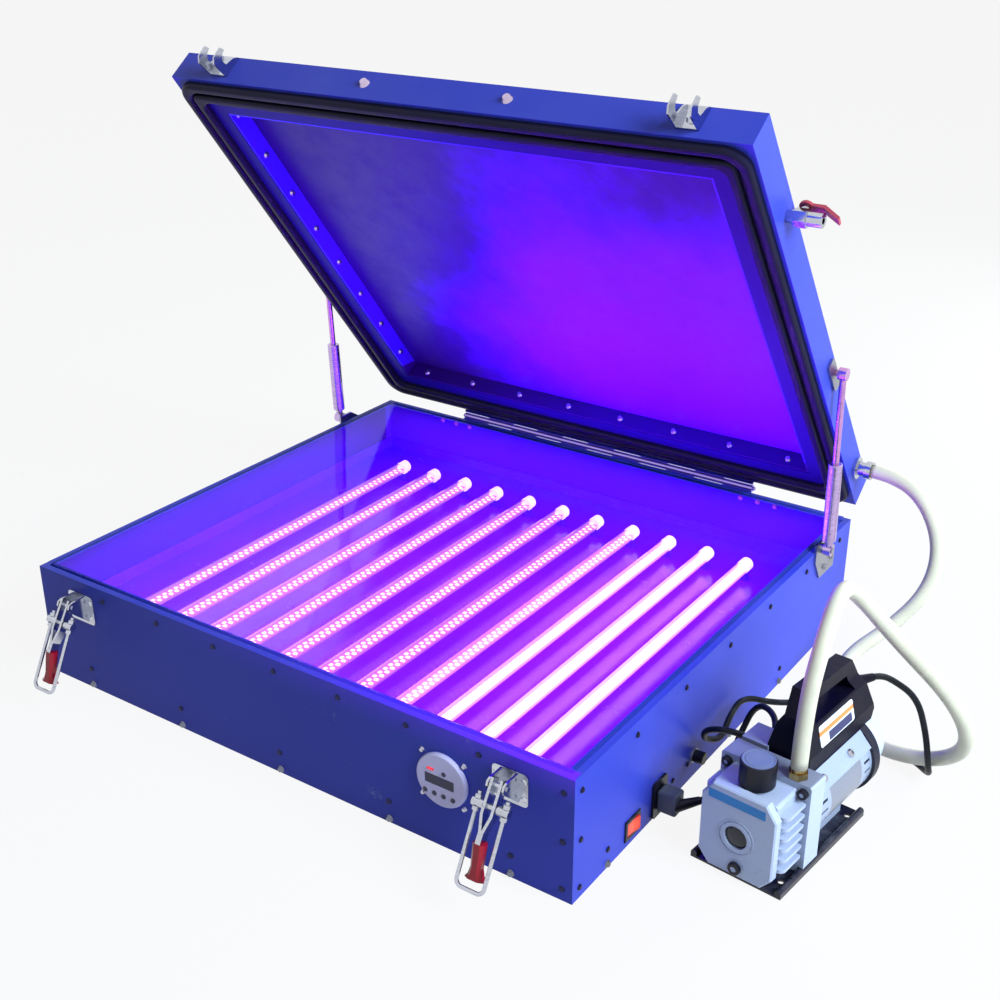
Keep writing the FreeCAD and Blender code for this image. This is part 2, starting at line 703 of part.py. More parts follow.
def make_struts():
    fy, fz, hy, hz, along, length = strut_frame()
    shut_y = strut_head_shut[0] - fy
    shut_z = strut_head_shut[1] - fz
    shut_length = math.hypot(shut_y, shut_z)
    rest_lean = math.degrees(math.atan2(-along[1], along[2]))
    shut_lean = math.degrees(math.atan2(-shut_y, shut_z))
    print("strut open %.3f shut %.3f stroke %.3f turn %.4f" %
          (length, shut_length, length - shut_length, shut_lean - rest_lean))
    print("strut ratio turn %.6f slide %.6f m/rad along %s" %
          ((shut_lean - rest_lean) / open_angle,
           (shut_length - length) / 1000 / math.radians(open_angle), along))

    stud = 4.0
    eye_start, eye_width = strut_x - 5.0, 10.0
    plates, upper = [], []
    for name in ("right", "left"):
        eye = rod((eye_start, fy, fz), (1, 0, 0), 7.5, eye_width)
        neck_start = [p + 5.0 * a for p, a in zip((strut_x, fy, fz), along)]
        neck = rod(neck_start, along, 4.8, 12.0)
        tube_start = [p + 13.0 * a for p, a in zip((strut_x, fy, fz), along)]
        tube = rod(tube_start, along, strut_tube_radius, strut_tube_length - 13.0)
        tube = tube.makeFillet(1.5, [e for e in tube.Edges if e.Closed])
        bore_start = [p + 20.0 * a for p, a in zip((strut_x, fy, fz), along)]
        bore = rod(bore_start, along, strut_rod_radius + running_gap, strut_tube_length)
        eye_bore = rod((eye_start - 1, fy, fz), (1, 0, 0), stud + running_gap, eye_width + 8)
        cylinder = joined([eye, neck, tube]).cut([bore, eye_bore])

        rod_start = [p + (strut_tube_length - 17.0) * a
                     for p, a in zip((strut_x, fy, fz), along)]
        stem = rod(rod_start, along, strut_rod_radius, length - strut_tube_length + 17.0)
        head = rod((side + 3.3, hy, hz), (1, 0, 0), stud, strut_x + 5.0 - side - 3.3)
        socket = rod((eye_start, hy, hz), (1, 0, 0), 7.5, eye_width)
        piston_rod = joined([stem, head, socket])

        outline = [(fy - 12.0, fz + 7.0), (fy + 12.0, fz + 7.0), (fy + 50.0, 134.0),
                   (fy + 50.0, 106.0), (fy + 6.0, 106.0), (fy - 12.0, 134.0)]
        plate = prism([(side, y, z) for y, z in outline], (2.5, 0, 0))
        pin = rod((side + 2.5, fy, fz), (1, 0, 0), stud, strut_x + 6.0 - side - 2.5)
        collar = rod((side + 2.5, fy, fz), (1, 0, 0), 6.5, 3.5)
        bolts = [screw_head((side + 2.5, fy + dy, z), (1, 0, 0), 4.4, 3.0)
                 for dy, z in ((20.0, 116.0), (40.0, 122.0))]
        foot = joined([plate, pin, collar] + bolts)

        sy, sz = strut_head_shut
        lid_plate = box((side, sy - 24.0, sz - 12.0), (side + 3.0, sy + 24.0, sz + 5.0))
        lid_plate = lid_plate.makeFillet(5.0, [e for e in lid_plate.Edges if e.Length < 3.1])
        if name == "left":
            cylinder, piston_rod = mirrored(cylinder), mirrored(piston_rod)
            foot, lid_plate = mirrored(foot), mirrored(lid_plate)
        save(name + "_strut_cylinder", cylinder)
        save(name + "_strut_rod", piston_rod)
        plates.append(foot)
        upper.append(swung_open(lid_plate))
    save("strut_box_brackets", *plates)
    save("strut_lid_brackets", *upper)


# Vacuum pump

def make_pump():
    half = pump_width / 2
    base = box((-half, 0, 0), (half, pump_base_length, 2.5))
    lips = []
    for sign in (-1, 1):
        edge = sign * (half - 3.5)
        lips.append(rod((edge, 0, 5.5), (0, 1, 0), 3.5, pump_base_length))
        lips.append(box((edge - 3.5, 0, 0), (edge + 3.5, pump_base_length, 5.5)))
    holes = [rod((sx * 40.0, y, -1), (0, 0, 1), 3.2, 5.0) for sx in (-1, 1) for y in (22.0, 160.0)]
    save("pump_base", beside_box(joined([base] + lips).cut(holes)))

    frame_y = (45.0, 73.0)
    mx, mz = motor_axis
    frame = box((-half + 1.0, frame_y[0], 2.5), (half - 1.0, frame_y[1], 107.0))
    frame = frame.makeFillet(3.0, [e for e in frame.Edges if e.Length < 28.5])
    frame = frame.cut(box((-34.0, frame_y[0] - 1, 2.4), (34.0, frame_y[1] + 1, 6.0)))
    chamber = rod((mx, frame_y[0] + 5.0, mz + 2.0), (0, 1, 0), 30.0, 18.0)
    shaft_hole = rod((mx, frame_y[0] - 1, mz), (0, 1, 0), shaft_radius + running_gap, 40.0)
    inlet_bore = rod((30.0, 55.0, 80.0), (0, 0, 1), 5.0, 40.0)
    bolts = [screw_head((sx * 43.0, frame_y[0], 98.0), (0, -1, 0), 5.0, 5.0) for sx in (-1, 1)]
    lip_room = [box((sx * (half - 3.5) - 4.0, frame_y[0] - 1, 2.4),
                    (sx * (half - 3.5) + 4.0, frame_y[1] + 1, 9.3)) for sx in (-1, 1)]
    frame = joined([frame.cut([chamber, shaft_hole, inlet_bore] + lip_room)] + bolts)
    save("pump_frame", beside_box(frame))

    body = box((-37.0, 6.0, 12.0), (37.0, frame_y[0], 100.0))
    body = body.makeFillet(4.0, [e for e in body.Edges if e.Length > 38.9 and e.Length < 39.1])
    fins = []
    for k in range(6):
        z = 22.0 + 12.5 * k
        fin = box((-47.0, 9.0, z), (47.0, frame_y[0] - 1.0, z + 4.0))
        fins.append(fin.makeFillet(7.0, [e for e in fin.Edges if e.Length < 4.1
                                         and e.CenterOfMass.y < 20.0]))
    boss = rod((2.0, 25.0, 98.0), (0, 0, 1), 14.0, 4.5)
    shaft_room = rod((mx, frame_y[0] - 5.0, mz), (0, 1, 0), shaft_radius + 3.0, 6.0)
    hollow = box((-33.0, 5.0, 16.0), (33.0, frame_y[0] - 4.0, 96.0))
    save("pump_oil_box", beside_box(joined([body, boss] + fins).cut([hollow, shaft_room])))

    octagon = [(-42.0, 19.0), (-30.0, 5.0), (30.0, 5.0), (42.0, 19.0), (42.0, 88.0),
               (30.0, 104.0), (-30.0, 104.0), (-42.0, 88.0)]
    cover = prism([(x, -4.0, z) for x, z in octagon], (0, 10.0, 0))
    cover = cover.makeChamfer(1.5, [e for e in cover.Edges if e.BoundBox.YMax < -3.9])
    eye = (0.0, 52.0)
    cover = cover.cut(rod((eye[0], -5.0, eye[1]), (0, 1, 0), 13.0, 6.0))
    lens = rod((eye[0], -2.5, eye[1]), (0, 1, 0), 12.9, 3.4)
    rim = ring((eye[0], -5.2, eye[1]), (0, 1, 0), 17.0, 13.0, 2.0)
    outer_line = ring((eye[0], -4.6, eye[1]), (0, 1, 0), 20.0, 19.0, 2.0)
    plug = rod((2.0, -4.0, 16.0), (0, -1, 0), 6.5, 4.0)
    save("pump_front_cover", beside_box(joined([cover, plug, rim, outer_line])),
         beside_box(lens))

    cap = rod((2.0, 25.0, 102.5), (0, 0, 1), 18.5, 27.5)
    cap = cap.makeFillet(1.5, [e for e in cap.Edges if e.Closed])
    save("pump_exhaust_cap", beside_box(cap))

    nut = []
    for k in range(6):
        turn = math.radians(60 * k)
        nut.append((30.0 + 10.5 * math.cos(turn), 55.0 + 10.5 * math.sin(turn), 107.0))
    fitting = joined([prism(nut, (0, 0, 7.0)), rod((30.0, 55.0, 114.0), (0, 0, 1), 8.0, 4.0)])
    fitting = fitting.cut(rod((30.0, 55.0, 106.0), (0, 0, 1), 4.0, 20.0))
    save("pump_inlet_fitting", beside_box(fitting))

    start, length = frame_y[1], 112.0
    shell = rod((mx, start, mz), (0, 1, 0), motor_radius, length)
    slots = []
    for k in range(24):
        slot = box((mx - 1.6, start + 2.0, mz + motor_radius - 4.0),
                   (mx + 1.6, start + 18.0, mz + motor_radius + 1.0))
        rear = box((mx - 1.6, start + length - 16.0, mz + motor_radius - 4.0),
                   (mx + 1.6, start + length - 4.0, mz + motor_radius + 1.0))
        for cut in (slot, rear):
            cut.rotate(Vector(mx, 0, mz), Vector(0, 1, 0), 15.0 * k)
            slots.append(cut)
    inside = rod((mx, start + 4.0, mz), (0, 1, 0), motor_radius - 7.0, length)
    hole = rod((mx, start - 1, mz), (0, 1, 0), shaft_radius + running_gap, 8.0)
    motor = shell.cut(slots + [inside, hole])
    foot = box((mx - 24.0, start + 40.0, 2.5), (mx + 24.0, start + 90.0, 22.0))
    foot = foot.cut(rod((mx, start, mz), (0, 1, 0), motor_radius, length))
    plates = []
    for sign in (-1, 1):
        plate = box((mx - 11.0, start + 10.0, mz + motor_radius),
                    (mx + 11.0, start + length - 1.0, mz + motor_radius + 2.5))
        plate.rotate(Vector(mx, 0, mz), Vector(0, 1, 0), sign * 47.0)
        plates.append(plate)
    terminal = box((-46.0, start + 2.0, 84.0), (-16.0, start + 34.0, 110.0))
    terminal = terminal.cut(rod((mx, start, mz), (0, 1, 0), motor_radius + 0.1, length))
    save("pump_motor", beside_box(joined([motor, foot])), *[beside_box(p) for p in plates],
         beside_box(terminal))

    cover_y = start + length
    rim = rod((mx, cover_y, mz), (0, 1, 0), motor_radius + 3.5, 12.0)
    dome = Part.makeCone(motor_radius - 1.0, motor_radius - 8.0, 36.0,
                         Vector(mx, cover_y + 12.0, mz), Vector(0, 1, 0))
    dome = dome.makeFillet(9.0, [e for e in dome.Edges if e.CenterOfMass.y > cover_y + 47.0
                                 and e.Closed])
    hollow = rod((mx, cover_y - 1, mz), (0, 1, 0), motor_radius - 10.0, 44.0)
    save("pump_fan_cover", beside_box(joined([rim, dome]).cut(hollow)))

    drum = rod((mx, frame_y[0] + 5.5, mz), (0, 1, 0), 24.0, 17.0)
    core = rod((mx, start + 22.0, mz), (0, 1, 0), 30.0, 62.0)
    fan = rod((mx, cover_y + 14.0, mz), (0, 1, 0), 30.0, 6.0)
    shaft = rod((mx, frame_y[0] - 3.5, mz), (0, 1, 0), shaft_radius, cover_y + 22.0 - frame_y[0])
    save("pump_rotor", beside_box(joined([drum, core, fan, shaft])))

    profile = [(76.0, 86.0), (80.0, 150.0), (90.0, 180.0), (180.0, 176.0), (205.0, 140.0),
               (216.0, 106.0), (206.0, 88.0)]
    handle = prism([(mx - 40.0, y, z) for y, z in profile], (80.0, 0, 0))
    taper = [(-26.0, 80.0), (-24.0, 112.0), (-17.0, 140.0), (-10.0, 152.0), (-9.5, 181.0),
             (9.5, 181.0), (10.0, 152.0), (17.0, 140.0), (24.0, 112.0), (26.0, 80.0)]
    handle = handle.common(prism([(mx + x, 60.0, z) for x, z in taper], (0, 180.0, 0)))
    window = [(98.0, 142.0), (104.0, 164.0), (170.0, 161.0), (182.0, 142.0)]
    grip_gap = prism([(mx - 40.0, y, z) for y, z in window], (80.0, 0, 0))
    motor_room = rod((mx, 60.0, mz), (0, 1, 0), motor_radius + 0.1, cover_y - 60.0)
    fan_room = rod((mx, cover_y, mz), (0, 1, 0), motor_radius + 3.7, 60.0)
    beside_plates = [p.copy() for p in plates]
    handle = handle.cut([grip_gap, motor_room, fan_room, terminal] + beside_plates)
    relief = strain_relief(lead_route[0], lead_route[1], relief_length + 2.0, 6.2)
    save("pump_handle", joined([beside_box(handle), relief]))


# Cords

def rounded_path(points, name):
    """Straight runs joined by tangent arcs, each arc as large as its two runs allow."""
    knots = [Vector(*p) for p in points]
    edges, radii, last = [], [], knots[0]
    for before, here, after in zip(knots, knots[1:], knots[2:]):
        come = here.sub(before)
        go = after.sub(here)
        turn = come.getAngle(go)
        reach = 0.45 * min(come.Length, go.Length)
        come.normalize()
        go.normalize()
        start = here.sub(Vector(come).multiply(reach))
        end = here.add(Vector(go).multiply(reach))
        radius = reach / math.tan(turn / 2)
        to_middle = go.sub(come).normalize()
        middle = here.add(to_middle.multiply(radius / math.cos(turn / 2) - radius))
        edges.append(Part.LineSegment(last, start).toShape())
        edges.append(Part.Arc(start, middle, end).toShape())
        radii.append(radius)
        last = end
    edges.append(Part.LineSegment(last, knots[-1]).toShape())
    print(name, "radii", [round(r) for r in radii])
    return Part.Wire(edges)


def cord_tube(points, diameter, name):
    path = rounded_path(points, name)
    first = Vector(*points[0])
    circle = Part.Wire(Part.makeCircle(diameter / 2, first, Vector(*points[1]).sub(first)))
    tube = path.makePipeShell([circle], True, False)
    expected = math.pi * (diameter / 2) ** 2 * path.Length
    print("%s length %.0f mm, volume over section x length %.4f" %
          (name, path.Length, tube.Volume / expected))
    return tube


def strain_relief(cord_end, next_point, length, root_radius):
    """Tapered sleeve in line with the cord's first run, its thin end against the cord's end."""
    along = Vector(*next_point).sub(Vector(*cord_end)).normalize()
    root = Vector(*cord_end).sub(Vector(along).multiply(length))
    return Part.makeCone(root_radius, lead_diameter / 2 + 0.8, length, root, along)


def make_cords():
    save("vacuum_hose", cord_tube(hose_route, hose_diameter, "vacuum_hose"))
    save("pump_lead", cord_tube(lead_route, lead_diameter, "pump_lead"))

    y, z = outlet_at
    shell = box((side + 3.0, y - 10.0, z - 13.0), (side + 26.0, y + 10.0, z + 13.0))
    shell = shell.makeFillet(3.0, shell.Edges)
    relief = strain_relief(lead_route[-1], lead_route[-2], relief_length + 5.0, 7.0)
    save("lead_plug", joined([shell, relief]))


make_box_panels()
make_glass()
make_light_bed()
make_box_screws()
make_rocker()
make_timer()
make_sockets()
make_hinge()
make_lid()
make_catches()
make_valve()
make_hose_port()
make_latch_bases()
for latch_place, latch_name in ((-latch_x, "left"), (latch_x, "right")):
    make_lever(latch_place, latch_name)
    make_loop(latch_place, latch_name)
make_struts()
make_pump()
make_cords()
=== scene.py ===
import math

import bpy
import numpy as np
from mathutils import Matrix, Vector


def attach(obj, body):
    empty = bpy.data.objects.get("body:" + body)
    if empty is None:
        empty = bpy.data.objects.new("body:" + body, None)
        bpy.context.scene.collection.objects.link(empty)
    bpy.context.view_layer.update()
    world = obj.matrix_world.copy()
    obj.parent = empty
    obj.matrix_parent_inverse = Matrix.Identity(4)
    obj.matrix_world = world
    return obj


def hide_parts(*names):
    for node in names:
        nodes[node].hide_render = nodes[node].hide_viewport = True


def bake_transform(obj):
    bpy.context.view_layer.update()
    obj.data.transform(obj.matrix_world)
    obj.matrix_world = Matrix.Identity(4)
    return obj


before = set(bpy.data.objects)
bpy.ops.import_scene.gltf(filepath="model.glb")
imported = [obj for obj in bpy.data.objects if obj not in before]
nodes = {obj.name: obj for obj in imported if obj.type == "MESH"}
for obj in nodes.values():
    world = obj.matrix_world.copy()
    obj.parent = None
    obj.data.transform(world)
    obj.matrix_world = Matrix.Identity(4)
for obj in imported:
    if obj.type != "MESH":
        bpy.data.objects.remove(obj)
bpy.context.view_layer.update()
print("frame loaded")


# shader helpers

def tone(red, green, blue):
    # a screen colour from 0 to 255, turned to a linear one
    parts = np.array([red, green, blue]) / 255
    linear = np.where(parts < 0.04045, parts / 12.92, ((parts + 0.055) / 1.055) ** 2.4)
    return (*linear.tolist(), 1.0)


def addNode(tree, kind, **settings):
    node = tree.nodes.new(kind)
    for key, value in settings.items():
        setattr(node, key, value)
    return node


def setSocket(tree, socket, value):
    if isinstance(value, bpy.types.NodeSocket):
        tree.links.new(value, socket)
    else:
        socket.default_value = value


def calc(tree, operation, first, second=0.0, clamp=False):
    node = addNode(tree, "ShaderNodeMath", operation=operation, use_clamp=clamp)
    setSocket(tree, node.inputs[0], first)
    setSocket(tree, node.inputs[1], second)
    return node.outputs[0]


def mixColour(tree, factor, first, second, blend="MIX"):
    node = addNode(tree, "ShaderNodeMix", data_type="RGBA", blend_type=blend)
    setSocket(tree, node.inputs[0], factor)
    setSocket(tree, node.inputs[6], first)
    setSocket(tree, node.inputs[7], second)
    return node.outputs[2]


def scaled(tree, vector, amount):
    node = addNode(tree, "ShaderNodeVectorMath", operation="SCALE")
    setSocket(tree, node.inputs[0], vector)
    setSocket(tree, node.inputs["Scale"], amount)
    return node.outputs[0]


def noise(tree, vector, scale, detail=3.0, roughness=0.5):
    node = addNode(tree, "ShaderNodeTexNoise")
    setSocket(tree, node.inputs["Vector"], vector)
    setSocket(tree, node.inputs["Scale"], scale)
    node.inputs["Detail"].default_value = detail
    node.inputs["Roughness"].default_value = roughness
    return node.outputs["Fac"]


def remap(tree, value, low, high, toLow=0.0, toHigh=1.0, smooth=False):
    node = addNode(tree, "ShaderNodeMapRange")
    if smooth:
        node.interpolation_type = "SMOOTHSTEP"
    for slot, number in enumerate((value, low, high, toLow, toHigh)):
        setSocket(tree, node.inputs[slot], number)
    return node.outputs[0]


def objectPlace(tree):
    return addNode(tree, "ShaderNodeTexCoord").outputs["Object"]


def splitVector(tree, vector):
    node = addNode(tree, "ShaderNodeSeparateXYZ")
    setSocket(tree, node.inputs[0], vector)
    return node.outputs


def newGroup(name, inputs, outputs):
    group = bpy.data.node_groups.new(name, "ShaderNodeTree")
    kinds = {"Color": "NodeSocketColor", "Vector": "NodeSocketVector"}
    for label, value in inputs.items():
        kind = "NodeSocketFloat"
        if isinstance(value, tuple):
            kind = kinds["Color" if len(value) == 4 else "Vector"]
        group.interface.new_socket(label, in_out="INPUT", socket_type=kind).default_value = value
    for label in outputs:
        group.interface.new_socket(label, in_out="OUTPUT",
                                   socket_type=kinds.get(label, "NodeSocketFloat"))
    return group, group.nodes.new("NodeGroupInput").outputs, group.nodes.new("NodeGroupOutput")


def buildFinish():
    # slow colour patches, fine grain and thin smears
    group, given, sink = newGroup(
        "surfaceFinish",
        {"Base": (0.5, 0.5, 0.5, 1.0), "Patch": (0.4, 0.4, 0.4, 1.0), "Patch Amount": 0.4,
         "Patch Scale": 5.0, "Grain Scale": 700.0, "Roughness": 0.4, "Roughness Spread": 0.1},
        ["Color", "Roughness", "Height"])
    place = objectPlace(group)
    patches = remap(group, noise(group, place, given["Patch Scale"], 4.0), 0.35, 0.7)
    amount = calc(group, "MULTIPLY", patches, given["Patch Amount"])
    mixed = mixColour(group, amount, given["Base"], given["Patch"])
    grain = noise(group, place, given["Grain Scale"], 2.0)
    shaded = scaled(group, mixed, remap(group, grain, 0.3, 0.7, 0.96, 1.04))
    setSocket(group, sink.inputs["Color"], shaded)
    smear = remap(group, noise(group, place, 23.0, 5.0, 0.7), 0.3, 0.75, -1.0, 1.0)
    spread = calc(group, "MULTIPLY", smear, given["Roughness Spread"])
    setSocket(group, sink.inputs["Roughness"],
              calc(group, "ADD", given["Roughness"], spread, True))
    setSocket(group, sink.inputs["Height"], grain)
    return group


def buildBrush():
    # long fine lines along one axis, for brushed and drawn metal
    group, given, sink = newGroup("brushedLines", {"Stretch": (1.0, 1.0, 1.0), "Depth": 0.3},
                                  ["Shade", "Height"])
    stretched = addNode(group, "ShaderNodeVectorMath", operation="MULTIPLY")
    setSocket(group, stretched.inputs[0], objectPlace(group))
    setSocket(group, stretched.inputs[1], given["Stretch"])
    lines = noise(group, stretched.outputs[0], 60.0, 4.0, 0.6)
    setSocket(group, sink.inputs["Height"], lines)
    dark = calc(group, "MULTIPLY", remap(group, lines, 0.35, 0.7), given["Depth"])
    setSocket(group, sink.inputs["Shade"], calc(group, "SUBTRACT", 1.0, dark))
    return group


def buildScuffs():
    # sparse rubbed spots with a fine broken edge
    group, given, sink = newGroup("scuffs", {"Amount": 0.3, "Scale": 40.0}, ["Mask"])
    place = objectPlace(group)
    spots = remap(group, noise(group, place, given["Scale"], 6.0, 0.7), 0.64, 0.74)
    fine = remap(group, noise(group, place, 420.0, 2.0), 0.45, 0.6)
    mask = calc(group, "MULTIPLY", spots, fine)
    setSocket(group, sink.inputs["Mask"], calc(group, "MULTIPLY", mask, given["Amount"], True))
    return group


def buildDust():
    # thin dust that settles where a surface looks up
    group, given, sink = newGroup("settledDust", {"Amount": 0.2, "Scale": 40.0}, ["Mask"])
    normal = addNode(group, "ShaderNodeNewGeometry").outputs["Normal"]
    up = remap(group, splitVector(group, normal)["Z"], 0.3, 1.0)
    cloud = remap(group, noise(group, objectPlace(group), given["Scale"], 6.0), 0.45, 0.75)
    mask = calc(group, "MULTIPLY", calc(group, "MULTIPLY", up, cloud), given["Amount"], True)
    setSocket(group, sink.inputs["Mask"], mask)
    return group


finishGroup, brushGroup, scuffGroup, dustGroup = (buildFinish(), buildBrush(), buildScuffs(),
                                                  buildDust())


def placeGroup(tree, group, values):
    node = addNode(tree, "ShaderNodeGroup", node_tree=group)
    for label, value in values.items():
        setSocket(tree, node.inputs[label], value)
    return node.outputs


def newMaterial(name, constants=None):
    material = bpy.data.materials.new(name)
    material.use_nodes = True
    shader = material.node_tree.nodes["Principled BSDF"]
    for label, value in (constants or {}).items():
        shader.inputs[label].default_value = value
    return material, material.node_tree, shader


def addBump(tree, shader, height, distance, strength=0.3):
    bump = addNode(tree, "ShaderNodeBump")
    bump.inputs["Strength"].default_value = strength
    bump.inputs["Distance"].default_value = distance
    setSocket(tree, bump.inputs["Height"], height)
    setSocket(tree, shader.inputs["Normal"], bump.outputs["Normal"])


def coat(name, look):
    # one painted, moulded or cast surface from a dictionary of its looks; a zone is a part of it
    # with another colour, its own colour in some zones and painted light and shade in others, and a
    # glow is where it shines, a lamp's own light in some and painted light in others
    material, tree, shader = newMaterial(name, look.get("constants"))
    finish = placeGroup(tree, finishGroup, look["finish"])
    shade, roughness, metallic = finish["Color"], finish["Roughness"], look.get("metallic", 0.0)
    if "dust" in look:
        mask = placeGroup(tree, dustGroup, look["dust"])["Mask"]
        shade = mixColour(tree, mask, shade, look.get("dustColour", tone(190, 190, 200)))
    if "wear" in look:
        mask = placeGroup(tree, scuffGroup, look["wear"])["Mask"]
        shade = mixColour(tree, mask, shade, look.get("wearColour", tone(150, 156, 190)))
    height = finish["Height"]
    if "lines" in look:
        lines = placeGroup(tree, brushGroup, look["lines"])
        shade, height = scaled(tree, shade, lines["Shade"]), lines["Height"]
    for zone in look.get("zones", []):
        mask = zone["where"](tree)
        shade = mixColour(tree, mask, shade, zone["colour"])
        roughness = remap(tree, mask, 0.0, 1.0, roughness, zone.get("roughness", 0.4))
        metallic = remap(tree, mask, 0.0, 1.0, metallic, zone.get("metallic", 0.0))
    if "glow" in look:
        glowMask = look["glow"]["where"](tree)
        setSocket(tree, shader.inputs["Emission Color"],
                  mixColour(tree, glowMask, (0.0, 0.0, 0.0, 1.0), look["glow"]["colour"]))
        shader.inputs["Emission Strength"].default_value = look["glow"]["strength"]
    setSocket(tree, shader.inputs["Base Color"], shade)
    setSocket(tree, shader.inputs["Roughness"], roughness)
    setSocket(tree, shader.inputs["Metallic"], metallic)
    addBump(tree, shader, height, look.get("bump", 0.0002), look.get("bumpStrength", 0.25))
    return material


def wear(names, material):
    for name in names:
        mesh = nodes[name].data
        mesh.materials.clear()
        mesh.materials.append(material)


# masks by place, all in metres

def span(direction, low, high, soft=0.0002):
    # one between two distances along a direction
    def mask(tree):
        dot = addNode(tree, "ShaderNodeVectorMath", operation="DOT_PRODUCT")
        setSocket(tree, dot.inputs[0], objectPlace(tree))
        dot.inputs[1].default_value = direction
        return calc(tree, "MULTIPLY", remap(tree, dot.outputs["Value"], low - soft, low + soft),
                    remap(tree, dot.outputs["Value"], high + soft, high - soft))
    return mask


def around(centre, radius, axis=None, soft=0.0003):
    # one inside a sphere, or inside a cylinder where an axis is given
    def mask(tree):
        offset = addNode(tree, "ShaderNodeVectorMath", operation="SUBTRACT")
        setSocket(tree, offset.inputs[0], objectPlace(tree))
        offset.inputs[1].default_value = centre
        arm = offset.outputs[0]
        if axis:
            cross = addNode(tree, "ShaderNodeVectorMath", operation="CROSS_PRODUCT")
            setSocket(tree, cross.inputs[0], arm)
            cross.inputs[1].default_value = axis
            arm = cross.outputs[0]
        length = addNode(tree, "ShaderNodeVectorMath", operation="LENGTH")
        setSocket(tree, length.inputs[0], arm)
        return remap(tree, length.outputs["Value"], radius + soft, radius - soft, smooth=True)
    return mask


def allOf(*masks):
    def mask(tree):
        whole = masks[0](tree)
        for other in masks[1:]:
            whole = calc(tree, "MULTIPLY", whole, other(tree))
        return whole
    return mask


xAxis, yAxis, zAxis = (1.0, 0.0, 0.0), (0.0, 1.0, 0.0), (0.0, 0.0, 1.0)
insideWalls = allOf(span(xAxis, -0.3792, 0.3792), span(yAxis, -0.3382, 0.3382),
                    span(zAxis, 0.002, 0.1452))
pumpPlace = {"x": 0.4925, "y": -0.213, "turn": math.radians(-6.0), "motorX": 0.006,
             "motorZ": 0.056}
pumpAcross = (math.cos(pumpPlace["turn"]), math.sin(pumpPlace["turn"]), 0.0)
pumpAlong = (-math.sin(pumpPlace["turn"]), math.cos(pumpPlace["turn"]), 0.0)


def pumpPoint(across, along, up):
    # a point of the pump, from its own front edge and middle line
    return (pumpPlace["x"] + across * pumpAcross[0] + along * pumpAlong[0],
            pumpPlace["y"] + across * pumpAcross[1] + along * pumpAlong[1], up)


def alongPump(low, high):
    start = pumpPlace["x"] * pumpAlong[0] + pumpPlace["y"] * pumpAlong[1]
    return span(pumpAlong, start + low, start + high)


motorMiddle = pumpPoint(pumpPlace["motorX"], 0.0, pumpPlace["motorZ"])
hinge = {"y": 0.347, "z": 0.151, "open": math.radians(52.4)}
lidForward = (0.0, -math.cos(hinge["open"]), math.sin(hinge["open"]))
lidOutward = (0.0, math.sin(hinge["open"]), math.cos(hinge["open"]))


def onLid(direction, low, high):
    # a stretch of the open lid, measured from the hinge along one of the lid's own directions
    start = hinge["y"] * direction[1] + hinge["z"] * direction[2]
    return span(direction, start + low, start + high)


# painted sheet metal

paintLook = {
    "finish": {"Base": tone(53, 64, 172), "Patch": tone(46, 55, 158), "Patch Amount": 0.4,
               "Patch Scale": 2.5, "Grain Scale": 1200.0, "Roughness": 0.38,
               "Roughness Spread": 0.03},
    "dust": {"Amount": 0.04, "Scale": 9.0},
    "wear": {"Amount": 0.3, "Scale": 16.0},
    "bump": 0.00015,
    "constants": {"Specular IOR Level": 0.12},
}
# The violet on the inside walls is painted lamp light, and the darker violet on the left panel's
# inside is painted shade.
paintedVioletLight = {"where": insideWalls, "colour": tone(100, 34, 214), "roughness": 0.25}
# A faint violet glow band on the inside walls, painted lamp light on walls that are no lamp.
paintedWallGlow = {"where": allOf(insideWalls, span(zAxis, 0.088, 0.128, 0.012)),
            "colour": tone(130, 20, 250), "strength": 0.10}
wear(["base_pan", "lid_top_sheet"], coat("bluePaint", paintLook))
# A dark band on the lid frame between the seal and the blanket, painted shade in the recess.
sealRecessShade = allOf(span(xAxis, -0.347, 0.347), onLid(lidForward, 0.041, 0.633),
                   onLid(lidOutward, 0.008, 0.038))
wear(["lid_frame_bars"], coat("lidPaint", paintLook | {
    "zones": [{"where": sealRecessShade, "colour": tone(30, 15, 104), "roughness": 0.45}]}))
wear(["right_side_panel", "rear_panel"],
     coat("boxPaint", paintLook | {"zones": [paintedVioletLight], "glow": paintedWallGlow}))
wear(["left_side_panel"], coat("leftPaint", paintLook | {
    "zones": [paintedVioletLight | {"colour": tone(66, 16, 146)}], "glow": paintedWallGlow}))
# The front panel's top fold is painted bright violet and its top edge glows violet: both painted lamp
# light.
paintedFoldLight = allOf(span(zAxis, 0.1462, 0.1490), span(xAxis, 0.19, 0.60, 0.19))
paintedFrontGlow = allOf(span(zAxis, 0.140, 0.20, 0.022), span(xAxis, 0.10, 0.80, 0.30))
wear(["front_panel"], coat("frontPaint", paintLook | {
    "zones": [paintedVioletLight, {"where": paintedFoldLight, "colour": tone(96, 40, 235)}],
    "glow": {"where": paintedFrontGlow, "colour": tone(96, 14, 236), "strength": 0.38}}))
# The tray's violet colour is painted lamp light.
trayLook = {
    "finish": {"Base": tone(106, 24, 240), "Patch": tone(78, 14, 226), "Patch Amount": 0.5,
               "Patch Scale": 5.0, "Grain Scale": 500.0, "Roughness": 0.22,
               "Roughness Spread": 0.08},
    "bump": 0.0002,
    "constants": {"Coat Weight": 0.4, "Coat Roughness": 0.12, "Specular IOR Level": 0.5},
}
wear(["inner_tray"], coat("trayPaintAndLampLight", trayLook))


# metals

def scaledTone(base, amount):
    return (*[c * amount for c in base[:3]], 1.0)


